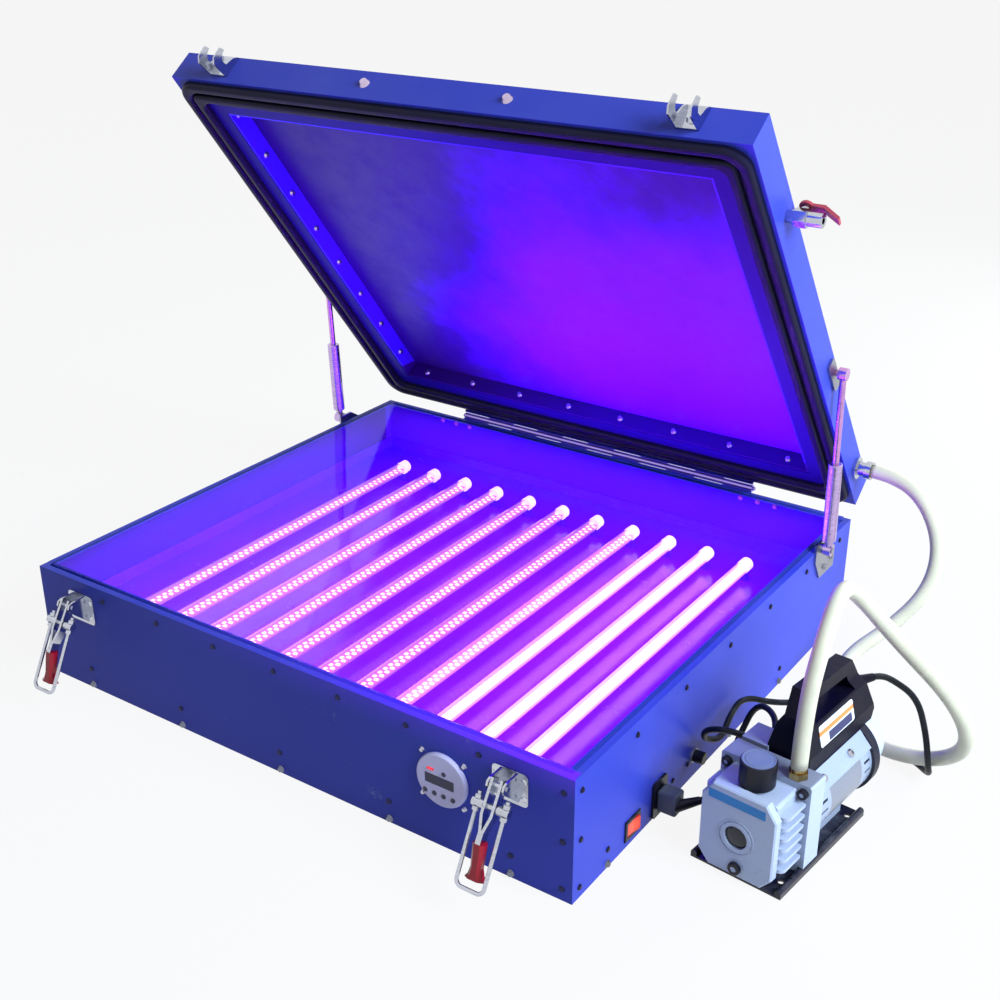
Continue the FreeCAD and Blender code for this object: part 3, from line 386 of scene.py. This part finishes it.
def metal(name, base, roughness, stretch=(1.0, 1.0, 12.0), depth=0.25, zones=()):
    return coat(name, {
        "finish": {"Base": base, "Patch": scaledTone(base, 0.72), "Patch Amount": 0.5,
                   "Patch Scale": 18.0, "Grain Scale": 900.0, "Roughness": roughness,
                   "Roughness Spread": 0.08},
        "lines": {"Stretch": stretch, "Depth": depth},
        "bump": 0.0001,
        "metallic": 1.0,
        "zones": zones,
    })


# The barrel's lilac steel tint is a painted violet reflection.
hingeBarrel = around((0.0, 0.347, 0.151), 0.0056, xAxis)
wear(["hinge_box_leaf", "hinge_lid_leaf", "hinge_pin"], coat("hingePaint", paintLook | {
    "zones": [{"where": hingeBarrel, "colour": tone(168, 146, 232), "metallic": 1.0,
               "roughness": 0.3}]}))
steel = metal("drawnSteel", tone(170, 174, 188), 0.3)
chrome = metal("brightChrome", tone(206, 210, 222), 0.16, depth=0.2)
wear(["strut_box_brackets", "strut_lid_brackets", "pump_rotor"], steel)
wear(["latch_bases", "lid_catches", "left_latch_lever", "right_latch_lever", "left_latch_loop",
      "right_latch_loop", "valve_body", "hose_port"], chrome)
# The pink and lilac tints of the strut and lid screw metals are painted violet reflections.
wear(["left_strut_rod", "right_strut_rod"], metal("strutRod", tone(226, 170, 236), 0.18))
wear(["left_strut_cylinder", "right_strut_cylinder"],
     metal("strutCylinder", tone(216, 190, 240), 0.28))
wear(["lid_screws"], metal("lidScrew", tone(214, 196, 226), 0.22, (1.0, 1.0, 1.0)))
wear(["pump_inlet_fitting"], metal("machinedBrass", tone(176, 152, 100), 0.28, (12.0, 1.0, 1.0)))
screwZones = [
    {"where": span(zAxis, 0.0, 0.0104), "colour": tone(120, 124, 140), "metallic": 1.0},
    {"where": allOf(around((0.226, -0.339, 0.085), 0.045), span(yAxis, -0.35, -0.338)),
     "colour": tone(176, 176, 196), "metallic": 1.0, "roughness": 0.25},
    # The screws near the rear get a pink painted highlight.
    {"where": span(yAxis, 0.330, 0.3375), "colour": tone(255, 120, 214), "roughness": 0.3},
]
wear(["panel_screws"], metal("darkScrew", tone(46, 48, 84), 0.4, (1.0, 1.0, 1.0),
                             zones=screwZones))
# The strips' violet is painted lamp light, and the darker band on the hinge-side strip is painted
# shade.
wear(["clamp_strips"], coat("stripPaintLightAndShade", {
    "finish": {"Base": tone(66, 26, 206), "Patch": tone(46, 18, 180), "Patch Scale": 9.0},
    "wear": {"Amount": 0.2, "Scale": 60.0},
    "zones": [{"where": span(zAxis, 0.1, 0.226), "colour": tone(46, 3, 108)}],
    "constants": {"Specular IOR Level": 0.25}}))


# pump castings

castLook = {
    "finish": {"Base": tone(170, 178, 202), "Patch": tone(154, 162, 188), "Patch Amount": 0.5,
               "Patch Scale": 14.0, "Grain Scale": 700.0, "Roughness": 0.34,
               "Roughness Spread": 0.08},
    "wear": {"Amount": 0.3, "Scale": 60.0},
    "wearColour": tone(120, 124, 140),
    "bump": 0.0005,
    "bumpStrength": 0.35,
    "constants": {"Coat Weight": 0.1, "Coat Roughness": 0.2},
}
wear(["pump_oil_box", "pump_front_cover"], coat("castPaint", castLook))
wear(["pump_frame"], coat("framePaint", castLook | {
    "zones": [{"where": span(zAxis, 0.1066, 0.12), "colour": tone(120, 124, 146)}]}))
# Near-black on the motor's body inside its fins and on a band of the fan cover's slots: painted
# shade.
slotShade = {"colour": tone(22, 24, 40), "roughness": 0.6}
motorFinish = castLook["finish"] | {"Base": tone(150, 158, 180), "Patch": tone(134, 142, 164)}
wear(["pump_motor"], coat("motorPaint", castLook | {"finish": motorFinish, "zones": [
    slotShade | {"where": around(motorMiddle, 0.0418, pumpAlong)},
    {"where": allOf(around(motorMiddle, 0.0434, pumpAlong), alongPump(0.098, 0.163),
                    span(pumpAcross, pumpPlace["x"] * pumpAcross[0] + 0.02, 0.7),
                    span(zAxis, 0.040, 0.079)),
     "colour": tone(150, 154, 170), "metallic": 0.6, "roughness": 0.35}]}))
wear(["pump_fan_cover"], coat("fanPaint", castLook | {
    "finish": castLook["finish"] | {"Base": tone(190, 198, 216), "Patch": tone(178, 188, 208)},
    "zones": [slotShade | {"where": alongPump(0.180, 0.1975)}]}))


# plastics and rubbers

def moulded(name, base, roughness=0.45, patchAmount=0.3, bump=0.0003, coatWeight=0.0,
            zones=(), glow=None, dust=0.08, gloss=0.25):
    look = {
        "finish": {"Base": base, "Patch": scaledTone(base, 0.7), "Patch Amount": patchAmount,
                   "Patch Scale": 30.0, "Grain Scale": 1400.0, "Roughness": roughness,
                   "Roughness Spread": 0.1},
        "dust": {"Amount": dust, "Scale": 60.0},
        "bump": bump,
        "wear": {"Amount": 0.25, "Scale": 90.0},
        "wearColour": scaledTone(base, 0.6),
        "constants": {"Coat Weight": coatWeight, "Coat Roughness": 0.15,
                      "Specular IOR Level": gloss},
        "zones": zones,
    }
    return coat(name, look | ({"glow": glow} if glow else {}))


blackPlastic = moulded("blackPlastic", tone(14, 14, 26), 0.36, coatWeight=0.05)
cordRubber = moulded("cordRubber", tone(16, 20, 26), 0.45)
wear(["rocker_bezel", "power_sockets", "pump_exhaust_cap"], blackPlastic)
wear(["pump_handle"], moulded("handlePlastic", tone(10, 8, 26), 0.34, dust=0.01, gloss=0.12))
wear(["pump_base"], moulded("basePaint", tone(18, 18, 38), 0.28, coatWeight=0.25))
wear(["fuse_holder"], moulded("fusePlastic", tone(18, 18, 26), 0.35, zones=[
    {"where": span(xAxis, 0.379, 0.3821), "colour": tone(170, 174, 186), "metallic": 1.0}]))
wear(["lead_plug"], moulded("plugPlastic", tone(18, 18, 26), 0.4, zones=[
    {"where": span(xAxis, 0.380, 0.4061), "colour": tone(84, 88, 104)}]))
wear(["rocker"], moulded("rockerPlastic", tone(200, 24, 18), 0.25, coatWeight=0.5, glow={
    "where": around((0.383, -0.223, 0.021), 0.004, soft=0.014),
    "colour": tone(255, 96, 48), "strength": 1.3}))
wear(["left_latch_grip", "right_latch_grip"],
     moulded("gripPlastic", tone(150, 10, 34), 0.3, coatWeight=0.3))
wear(["timer_body"], moulded("timerPlastic", tone(206, 198, 236), 0.42))
wear(["timer_key_1", "timer_key_2", "timer_key_3", "timer_key_4"],
     moulded("keyPlastic", tone(64, 60, 84), 0.4))
wear(["pump_lead"], cordRubber)
wear(["led_driver"], moulded("driverPlastic", tone(224, 226, 232), 0.4))
wear(["lid_seal"], coat("sealRubber", {
    "finish": {"Base": tone(24, 22, 46), "Patch": tone(14, 14, 30), "Patch Amount": 0.6,
               "Patch Scale": 12.0, "Grain Scale": 600.0, "Roughness": 0.4},
    "constants": {"Specular IOR Level": 0.12},
    "bump": 0.0004}))


# glass and lamps

def clearGlass(name, base, tint, bend):
    # shadow rays pass straight through, so that lamps on one side light the other
    material, tree, shader = newMaterial(name, {"Transmission Weight": 1.0, "IOR": bend})
    smudge = remap(tree, noise(tree, objectPlace(tree), 9.0, 5.0, 0.65), 0.45, 0.75)
    setSocket(tree, shader.inputs["Base Color"], mixColour(tree, smudge, base, tint))
    setSocket(tree, shader.inputs["Roughness"], remap(tree, smudge, 0.0, 1.0, 0.0, 0.04))
    shadow = addNode(tree, "ShaderNodeLightPath").outputs["Is Shadow Ray"]
    setSocket(tree, shader.inputs["Alpha"], remap(tree, shadow, 0.0, 1.0, 1.0, 0.05))
    return material, tree, shader


glassMaterial, _, _ = clearGlass("plateGlass", tone(250, 250, 255), tone(240, 238, 255), 1.1)
wear(["glass_plate"], glassMaterial)

lampLook = {"pitch": 0.056, "dotPitch": 0.0096, "rowOffset": 0.0030, "dotSize": 0.0038,
            "whiteFrom": 0.06, "whiteTo": 0.22, "shade": tone(240, 84, 250),
            "dotShade": tone(255, 232, 255), "tubeGlow": 0.12, "whiteGlow": 0.46}


def whiter(tree, x):
    # nought on the left lamps and one on the right ones, which are lit more
    return remap(tree, x, lampLook["whiteFrom"], lampLook["whiteTo"], 0.0, 1.0, True)


def lampBoards():
    # two rows of lit dots on each board, one row half a step behind the other
    material, tree, shader = newMaterial("lampBoards", {"Emission Strength": 1.0})
    x, y, z = splitVector(tree, objectPlace(tree))
    steps = calc(tree, "ADD", calc(tree, "DIVIDE", x, lampLook["pitch"]), 20.5)
    across = calc(tree, "MULTIPLY", calc(tree, "SUBTRACT", calc(tree, "FRACT", steps), 0.5),
                  lampLook["pitch"])
    side = calc(tree, "GREATER_THAN", across, 0.0)
    fromRow = calc(tree, "SUBTRACT", calc(tree, "ABSOLUTE", across), lampLook["rowOffset"])
    along = calc(tree, "ADD", calc(tree, "DIVIDE", y, lampLook["dotPitch"]),
                 calc(tree, "MULTIPLY", side, 0.5))
    fromDot = calc(tree, "MULTIPLY",
                   calc(tree, "SUBTRACT", calc(tree, "FRACT", calc(tree, "ADD", along, 50.0)), 0.5),
                   lampLook["dotPitch"])
    reach = calc(tree, "SQRT", calc(tree, "ADD", calc(tree, "MULTIPLY", fromRow, fromRow),
                                    calc(tree, "MULTIPLY", fromDot, fromDot)))
    dot = remap(tree, reach, lampLook["dotSize"], lampLook["dotSize"] * 0.5, 0.0, 1.0, True)
    lit = calc(tree, "MAXIMUM", dot, calc(tree, "MULTIPLY", whiter(tree, x), 0.75))
    glow = mixColour(tree, lit, lampLook["shade"], lampLook["dotShade"])
    strength = remap(tree, lit, 0.0, 1.0, 0.42, 1.35)
    setSocket(tree, shader.inputs["Base Color"], glow)
    setSocket(tree, shader.inputs["Emission Color"], scaled(tree, glow, strength))
    return material


wear(["led_strips"], lampBoards())
tubeMaterial, tree, shader = clearGlass("tubeGlass", tone(255, 240, 255), tone(252, 214, 255), 1.3)
rim = addNode(tree, "ShaderNodeLayerWeight")
rim.inputs["Blend"].default_value = 0.4
tubeShade = mixColour(tree, rim.outputs["Facing"], tone(255, 190, 255), tone(236, 90, 255))
tubeBright = remap(tree, whiter(tree, splitVector(tree, objectPlace(tree))["X"]), 0.0, 1.0,
                   lampLook["tubeGlow"], lampLook["whiteGlow"])
setSocket(tree, shader.inputs["Emission Color"], scaled(tree, tubeShade, tubeBright))
shader.inputs["Emission Strength"].default_value = 1.0
wear(["uv_tubes"], tubeMaterial)
wear(["tube_end_caps"], coat("lampCap", {
    "finish": {"Base": tone(226, 220, 240), "Patch": tone(200, 190, 226), "Patch Scale": 40.0},
    "zones": [{"where": span(zAxis, 0.0, 0.0812), "colour": tone(92, 22, 226)}],
    "glow": {"where": allOf(span(zAxis, 0.0812, 0.11), span(yAxis, 0.2, 0.3)),
             "colour": tone(255, 214, 255), "strength": 0.85}}))
print("materials placed")


# cords

hoseSize = {"diameter": 0.017, "sides": 28, "bendFrom": (0.430, 0.334, 0.222),
            "bendTo": (0.500, 0.260, 0.090)}
hoseRoute = [
    (0.4020, 0.3341, 0.22184), (0.4365, 0.3341, 0.22184), (0.4780, 0.3235, 0.2015),
    (0.5080, 0.3020, 0.1585), (0.5075, 0.2775, 0.1075), (0.4795, 0.2365, 0.0675),
    (0.4485, 0.1835, 0.0445), (0.4530, 0.1290, 0.0235), (0.4875, 0.0850, 0.0135),
    (0.5420, 0.0660, 0.0095), (0.6060, 0.0580, 0.0260), (0.6430, 0.0300, 0.0760),
    (0.6275, 0.0060, 0.1375), (0.5565, 0.0050, 0.1910), (0.5205, -0.0215, 0.2440),
    (0.5210, -0.0780, 0.2805), (0.5315, -0.1400, 0.2560), (0.52808, -0.16144, 0.1885),
    (0.52808, -0.16144, 0.1180),
]
leadDiameter = 0.007
leadRoute = [
    (0.5350, 0.0133, 0.1324), (0.5392, 0.0229, 0.1310), (0.5485, 0.0375, 0.1220),
    (0.5755, 0.0475, 0.1030), (0.5930, 0.0375, 0.0685), (0.6015, 0.0335, 0.0305),
    (0.5985, 0.0545, 0.0075), (0.5740, 0.0770, 0.0036), (0.5365, 0.0850, 0.0036),
    (0.5125, 0.0970, 0.0060), (0.4910, 0.1010, 0.0310), (0.4560, 0.0760, 0.0395),
    (0.4190, 0.0400, 0.0415), (0.3910, 0.0115, 0.0565), (0.3915, -0.0235, 0.0495),
    (0.3980, -0.0555, 0.0380), (0.3885, -0.0830, 0.0510), (0.3970, -0.0980, 0.0755),
    (0.4250, -0.1005, 0.0870), (0.4525, -0.0885, 0.0770), (0.4620, -0.0625, 0.0725),
    (0.4500, -0.0350, 0.0770), (0.4280, -0.0180, 0.0750), (0.4130, -0.0120, 0.0585),
    (0.4080, -0.0205, 0.0380), (0.4085, -0.0405, 0.0260), (0.4170, -0.0600, 0.0245),
    (0.4305, -0.0850, 0.0330), (0.4420, -0.1145, 0.0375), (0.4380, -0.1395, 0.0315),
    (0.4227, -0.1538, 0.0276),
]


def splineObject(name, points, bevel):
    curve = bpy.data.curves.new(name, "CURVE")
    curve.dimensions = "3D"
    curve.resolution_u = 12
    curve.bevel_depth = bevel
    curve.bevel_resolution = 6
    curve.use_fill_caps = True
    spline = curve.splines.new("NURBS")
    spline.points.add(len(points) - 1)
    spline.points.foreach_set("co", np.c_[points, np.ones(len(points))].ravel())
    spline.order_u = 3
    spline.use_endpoint_u = True
    piece = bpy.data.objects.new(name, curve)
    bpy.context.collection.objects.link(piece)
    return piece


def pathOf(name, points):
    line = splineObject(name, points, 0.0)
    mesh = bpy.data.meshes.new_from_object(line)
    path = np.empty(len(mesh.vertices) * 3)
    mesh.vertices.foreach_get("co", path)
    bpy.data.objects.remove(line)
    return path.reshape(-1, 3)


def gridMesh(name, points, closed=True, capped=False):
    # points is rows x columns x 3; each row closes on itself when closed, and a flat face
    # fills the first and the last row when capped
    rows, columns = points.shape[:2]
    mesh = bpy.data.meshes.new(name)
    row, column = np.meshgrid(np.arange(rows - 1), np.arange(columns if closed else columns - 1),
                              indexing="ij")
    across = (column + 1) % columns
    faces = np.stack([row * columns + column, row * columns + across,
                      (row + 1) * columns + across, (row + 1) * columns + column], -1)
    faces = faces.reshape(-1, 4).tolist()
    smooth = [True] * len(faces)
    if capped:
        ends = np.arange(columns)
        faces += [ends[::-1].tolist(), (ends + (rows - 1) * columns).tolist()]
        smooth += [False, False]
    mesh.from_pydata(points.reshape(-1, 3).tolist(), [], faces)
    mesh.polygons.foreach_set("use_smooth", smooth)
    mesh.update()
    piece = bpy.data.objects.new(name, mesh)
    bpy.context.collection.objects.link(piece)
    return piece


def tubeAround(name, path, radius, sides):
    # a ring at each point of the path, square to it and carried along without twist
    ahead = np.gradient(path, axis=0)
    ahead /= np.linalg.norm(ahead, axis=1)[:, None]
    first = np.empty_like(path)
    first[0] = (0.0, 0.0, 1.0)
    for step in range(1, len(path)):
        carried = first[step - 1] - ahead[step] * (first[step - 1] @ ahead[step])
        first[step] = carried / np.linalg.norm(carried)
    second = np.cross(ahead, first)
    turn = np.linspace(0, 2 * np.pi, sides, endpoint=False)
    ring = (first[:, None] * np.cos(turn)[None, :, None]
            + second[:, None] * np.sin(turn)[None, :, None])
    return gridMesh(name, path[:, None] + radius * ring, capped=True)


hosePath = pathOf("hoseLine", hoseRoute)
hose = tubeAround("vacuumHose", hosePath, hoseSize["diameter"] / 2, hoseSize["sides"])
hose.data.materials.append(moulded("hosePlastic", tone(206, 198, 176), 0.36, 0.35, coatWeight=0.1))
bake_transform(hose)
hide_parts("vacuum_hose")

leadLine = pathOf("leadLine", leadRoute)
lead = splineObject("pumpLead", leadRoute, leadDiameter / 2)
lead.data.materials.append(cordRubber)
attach(lead, "box")
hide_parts("pump_lead")
print("cords made")


# the rubber blanket under the lid

blanketLook = {"halfWidth": 0.3258, "front": -0.2648, "back": 0.2848, "low": 0.185,
               "thickness": 0.003, "sag": 0.0012, "ripple": 0.0011, "steps": (160, 140)}

def swungOpen(points):
    # from the shut lid's place to the open one's
    offset = points - np.array([0.0, hinge["y"], hinge["z"]])
    cosine, sine = math.cos(hinge["open"]), math.sin(hinge["open"])
    return np.stack([points[..., 0], hinge["y"] + offset[..., 1] * cosine + offset[..., 2] * sine,
                     hinge["z"] - offset[..., 1] * sine + offset[..., 2] * cosine], -1)


# It hangs a little in the middle and lies in shallow ripples along its hinged edge; both
# fade to nothing at the clamp strips.
across, along = np.meshgrid(np.linspace(-1, 1, blanketLook["steps"][0]),
                            np.linspace(0, 1, blanketLook["steps"][1]))
inner = np.clip((1 - np.abs(across)) / 0.04, 0, 1) * np.clip((0.5 - np.abs(along - 0.5)) / 0.03, 0, 1)
hang = blanketLook["sag"] * (1 - across ** 2) * np.sin(np.pi * along)
wave = np.sin(9.0 * across + 1.3) + 0.6 * np.sin(23.0 * across + 5.0 * along)
hang += blanketLook["ripple"] * (0.5 + 0.5 * wave / 1.6) * np.exp(-((along - 0.93) / 0.05) ** 2)
shut = np.stack([across * blanketLook["halfWidth"],
                 blanketLook["front"] + along * (blanketLook["back"] - blanketLook["front"]),
                 blanketLook["low"] - hang * inner], -1)
blanket = gridMesh("rubberBlanket", swungOpen(shut)[::-1], closed=False)
solid = blanket.modifiers.new("thickness", "SOLIDIFY")
solid.thickness = blanketLook["thickness"]
solid.offset = -1.0
# The rubber's violet colour is painted lamp light.
blanketMaterial, tree, shader = newMaterial("blanketRubber", {"Specular IOR Level": 0.25})
finish = placeGroup(tree, finishGroup, {
    "Base": tone(100, 22, 232), "Patch": tone(78, 16, 220), "Patch Amount": 0.6,
    "Patch Scale": 2.2, "Grain Scale": 500.0, "Roughness": 0.42, "Roughness Spread": 0.12})
x, y, z = splitVector(tree, objectPlace(tree))
# painted shade darkens it towards the upper left and along the top; the noise smudges on their own
# are faint elsewhere
corner = calc(tree, "ADD", remap(tree, x, 0.10, -0.28, 0.0, 0.95),
              remap(tree, z, 0.36, 0.60, 0.0, 0.66))
cloud = remap(tree, noise(tree, objectPlace(tree), 4.2, 7.0, 0.62), 0.34, 0.66)
smudge = remap(tree, calc(tree, "ADD", corner, calc(tree, "MULTIPLY", cloud, 0.55)), 0.42, 1.25,
               0.0, 0.95, True)
setSocket(tree, shader.inputs["Base Color"],
          mixColour(tree, smudge, finish["Color"], tone(38, 20, 84)))
setSocket(tree, shader.inputs["Roughness"], finish["Roughness"])
addBump(tree, shader, finish["Height"], 0.0003)
blanket.data.materials.append(blanketMaterial)
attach(blanket, "lid")
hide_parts("rubber_blanket")
print("blanket made")


# small fittings

def roundedOutline(width, height, radius, inset):
    # a rectangle with round corners, or a circle where the radius is half its width
    turn = (np.arange(8) + 0.5) * np.pi / 16
    quarters = []
    for number, (signX, signY) in enumerate(((1, 1), (-1, 1), (-1, -1), (1, -1))):
        angle = turn + number * np.pi / 2
        corner = np.array([signX * (width / 2 - radius), signY * (height / 2 - radius)])
        quarters.append(corner + (radius - inset) * np.c_[np.cos(angle), np.sin(angle)])
    return np.concatenate(quarters)


def fitting(name, piece):
    # layers are pairs of height and inset, from the seat outwards
    normal, side = np.array(piece["normal"]), np.array(piece["across"])
    up = np.cross(normal, side)
    rows = []
    for height, inset in piece["layers"]:
        outline = roundedOutline(*piece["size"], piece["radius"], inset)
        rows.append(np.array(piece["at"]) + outline[:, :1] * side + outline[:, 1:] * up
                    + height * normal)
    made = gridMesh(name, np.array(rows), capped=True)
    made.data.polygons.foreach_set("use_smooth", [False] * len(made.data.polygons))
    made.data.materials.append(piece["material"])
    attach(made, "box")
    return made


minusPumpAlong = tuple(-v for v in pumpAlong)
outX = (0.0, -1.0, 0.0)
domed = [(-0.0010, 0.0), (0.0004, 0.0), (0.0010, 0.0006), (0.0012, 0.0012)]


def onPump(across, normal, tilt=0.0):
    # a direction that leans from the pump's side towards the top
    return tuple(across * a * math.cos(tilt) + normal * u * math.sin(tilt)
                 for a, u in zip(pumpAcross, zAxis))


timerAt = (0.226, -0.344, 0.085)
bolt = {"size": (0.0108, 0.0108), "radius": 0.0054, "slot": "black_plastic",
        "layers": [(-0.002, 0.0), (0.0046, 0.0), (0.0056, 0.0010), (0.0056, 0.0028),
                   (0.0036, 0.0030)], "material": blackPlastic}
motorLean = math.radians(90.0 - 47.0)
stripNormal = onPump(1.0, 1.0, motorLean)
plateNormal = onPump(1.0, 1.0, math.atan2(7.0, 28.0))
pieces = {
    "timerDisplay": {
        "at": (timerAt[0] - 0.0018, -0.34352, timerAt[2] - 0.001), "normal": outX,
        "across": xAxis, "size": (0.0360, 0.0115), "radius": 0.0006, "slot": "timer_plastic",
        "layers": [(-0.0002, 0.0), (0.0002, 0.0), (0.0003, 0.0003)],
        "material": moulded("displayGlass", tone(46, 44, 76), 0.25, 0.5, coatWeight=0.1)},
    "timerLight": {
        "at": (timerAt[0] - 0.0123, timerAt[1], timerAt[2] + 0.0113), "normal": outX,
        "across": xAxis, "size": (0.0088, 0.0030), "radius": 0.0014, "slot": "red_plastic",
        "layers": domed, "material": moulded("redLight", tone(210, 30, 40), 0.3, glow={
            "where": around((timerAt[0] - 0.0123, timerAt[1], timerAt[2] + 0.0113), 0.003,
                            soft=0.003), "colour": tone(255, 70, 84), "strength": 1.0})},
    "timerButton": {
        "at": (timerAt[0] + 0.0043, timerAt[1], timerAt[2] + 0.0102), "normal": outX,
        "across": xAxis, "size": (0.0054, 0.0054), "radius": 0.0027, "slot": "timer_plastic",
        "layers": domed, "material": moulded("buttonPlastic", tone(60, 56, 80), 0.4)},
    "sightGlass": {
        "at": pumpPoint(0.0, -0.0024, 0.052), "normal": minusPumpAlong, "across": pumpAcross,
        "size": (0.0256, 0.0256), "radius": 0.0128, "slot": "glass",
        "layers": [(-0.0008, 0.0), (0.0002, 0.0), (0.0009, 0.003), (0.0013, 0.006),
                   (0.0015, 0.009), (0.00155, 0.0115)],
        "material": moulded("sightGlass", tone(30, 32, 44), 0.1, 0.8, coatWeight=0.3)},
    "drainPlug": {
        "at": pumpPoint(0.002, -0.0060, 0.016), "normal": minusPumpAlong, "across": pumpAcross,
        "size": (0.0138, 0.0138), "radius": 0.0069, "slot": "black_plastic",
        "layers": [(-0.0018, 0.0), (0.0018, 0.0), (0.0026, 0.0010), (0.0026, 0.0036),
                   (0.0012, 0.0038)],
        "material": blackPlastic},
    "frontStrip": {
        "at": pumpPoint(-0.002, -0.0040, 0.0915), "normal": minusPumpAlong,
        "across": pumpAcross, "size": (0.0640, 0.0100), "radius": 0.0008,
        "slot": "silver_plastic", "layers": [(-0.0004, 0.0), (0.0003, 0.0), (0.0004, 0.0002)],
        "material": moulded("blueStrip", tone(52, 128, 190), 0.35, 0.4)},
    "capTop": {
        "at": pumpPoint(0.002, 0.025, 0.130), "normal": zAxis, "across": pumpAcross,
        "size": (0.0340, 0.0340), "radius": 0.0170, "slot": "silver_plastic",
        "layers": [(-0.0008, 0.0), (0.0006, 0.0), (0.0006, 0.0016), (0.0002, 0.0020),
                   (0.0002, 0.0032), (0.0006, 0.0036)],
        "material": moulded("capDisc", tone(104, 112, 146), 0.4, 0.4)},
    "sidePlate": {
        "at": pumpPoint(0.006 + 0.0208, 0.136, 0.1256), "normal": plateNormal,
        "across": pumpAlong, "size": (0.0700, 0.0235), "radius": 0.0030,
        "slot": "silver_plastic", "layers": [(-0.0006, 0.0), (0.0004, 0.0), (0.0006, 0.0004)],
        "material": moulded("plateSheet", tone(226, 228, 236), 0.35, 0.2, zones=[
            {"where": span(zAxis, 0.1268, 0.1318), "colour": tone(226, 132, 72)},
            {"where": allOf(span(zAxis, 0.1155, 0.1250), alongPump(0.118, 0.166)),
             "colour": tone(58, 58, 92)}])},
}
for number, spot in enumerate((-0.043, 0.043)):
    pieces["frameBolt%d" % (number + 1)] = bolt | {
        "at": pumpPoint(spot, 0.045, 0.098), "normal": minusPumpAlong, "across": pumpAcross}
for number, spot in enumerate((0.094, 0.150)):
    reach = 0.0455
    pieces["stripScrew%d" % (number + 1)] = bolt | {
        "at": pumpPoint(0.006 + reach * math.cos(motorLean), spot,
                        0.056 + reach * math.sin(motorLean)),
        "normal": stripNormal, "across": pumpAlong, "size": (0.0090, 0.0090), "radius": 0.0045,
        "layers": [(-0.0010, 0.0), (0.0012, 0.0), (0.0026, 0.0012), (0.0032, 0.0028)],
        "material": chrome, "slot": "chrome"}
for name, piece in pieces.items():
    fitting(name, piece)
print("fittings made")


# camera, floor and light

studio = {"floor": tone(188, 188, 192), "floorGlow": 0.90, "world": 0.16,
          "key": 180.0, "fill": 1.5, "side": 60.0, "top": 6.0, "lidGlow": 10.0, "trayGlow": 7.0}
camera = bpy.data.objects.new("viewCamera", bpy.data.cameras.new("viewCamera"))
camera.data.lens = 50.12
camera.data.sensor_width = 36.0
camera.location = (0.9229, -1.2542, 0.9298)
aim = Vector((0.0, 0.0911, 0.1696)) - camera.location
camera.rotation_euler = aim.to_track_quat("-Z", "Y").to_euler()
camera.data.clip_end = 100.0
bpy.context.collection.objects.link(camera)
bpy.context.scene.camera = camera


def seenDirectly(tree):
    # one for camera, mirror and glass rays, and nought for the rays that carry light
    rays = addNode(tree, "ShaderNodeLightPath").outputs
    seen = calc(tree, "MAXIMUM", rays["Is Camera Ray"], rays["Is Glossy Ray"])
    return calc(tree, "MAXIMUM", seen, rays["Is Transmission Ray"])


floorMesh = bpy.data.meshes.new("floor")
floorMesh.from_pydata([(-20, -20, 0), (20, -20, 0), (20, 20, 0), (-20, 20, 0)], [], [(0, 1, 2, 3)])
floor = bpy.data.objects.new("floor", floorMesh)
bpy.context.collection.objects.link(floor)
floorMaterial, tree, shader = newMaterial("floor", {"Base Color": studio["floor"], "Roughness": 0.9})
glow = addNode(tree, "ShaderNodeEmission")
blend = addNode(tree, "ShaderNodeMixShader")
setSocket(tree, blend.inputs[0], calc(tree, "MULTIPLY", seenDirectly(tree), studio["floorGlow"]))
setSocket(tree, blend.inputs[1], shader.outputs["BSDF"])
setSocket(tree, blend.inputs[2], glow.outputs["Emission"])
setSocket(tree, tree.nodes["Material Output"].inputs["Surface"], blend.outputs["Shader"])
floorMesh.materials.append(floorMaterial)

world = bpy.data.worlds.new("studio")
bpy.context.scene.world = world
world.use_nodes = True
background = world.node_tree.nodes["Background"]
setSocket(world.node_tree, background.inputs["Strength"],
          remap(world.node_tree, seenDirectly(world.node_tree), 0.0, 1.0, studio["world"], 1.0))
background.inputs["Color"].default_value = (1.0, 1.0, 1.0, 1.0)


def lamp(name, place, target, energy, size, shade=(1.0, 1.0, 1.0)):
    # it lights the object but isn't seen, so that no lamp glares in the glass or the metal
    light = bpy.data.lights.new(name, "AREA")
    light.shape = "RECTANGLE"
    light.size, light.size_y = size
    light.energy = energy
    light.color = shade
    holder = bpy.data.objects.new(name, light)
    holder.location = place
    holder.rotation_euler = (Vector(target) - Vector(place)).to_track_quat("-Z", "Y").to_euler()
    holder.visible_camera = holder.visible_glossy = holder.visible_transmission = False
    bpy.context.collection.objects.link(holder)


violet = (0.36, 0.02, 1.0)
lamp("keyLight", (2.6, -0.4, 1.9), (0.2, 0.0, 0.2), studio["key"], (1.6, 1.6), (0.70, 0.87, 1.0))
lamp("fillLight", (-1.6, -2.6, 1.8), (0.0, 0.0, 0.3), studio["fill"], (1.4, 1.4))
lamp("sideLight", (1.2, 1.9, 0.6), (0.38, 0.0, 0.1), studio["side"], (1.2, 0.8), (0.88, 1.0, 0.96))
lamp("topLight", (0.0, -0.4, 2.6), (0.0, 0.0, 0.2), studio["top"], (1.6, 1.6))
lamp("lidGlow", (0.07, -0.01, 0.158), (0.07, -0.01, 1.0), studio["lidGlow"], (0.52, 0.54), violet)
lamp("trayGlow", (0.0, -0.01, 0.143), (0.0, -0.01, 0.0), studio["trayGlow"], (0.66, 0.54), violet)
bpy.context.scene.view_settings.view_transform = "Standard"
print("camera and light set")
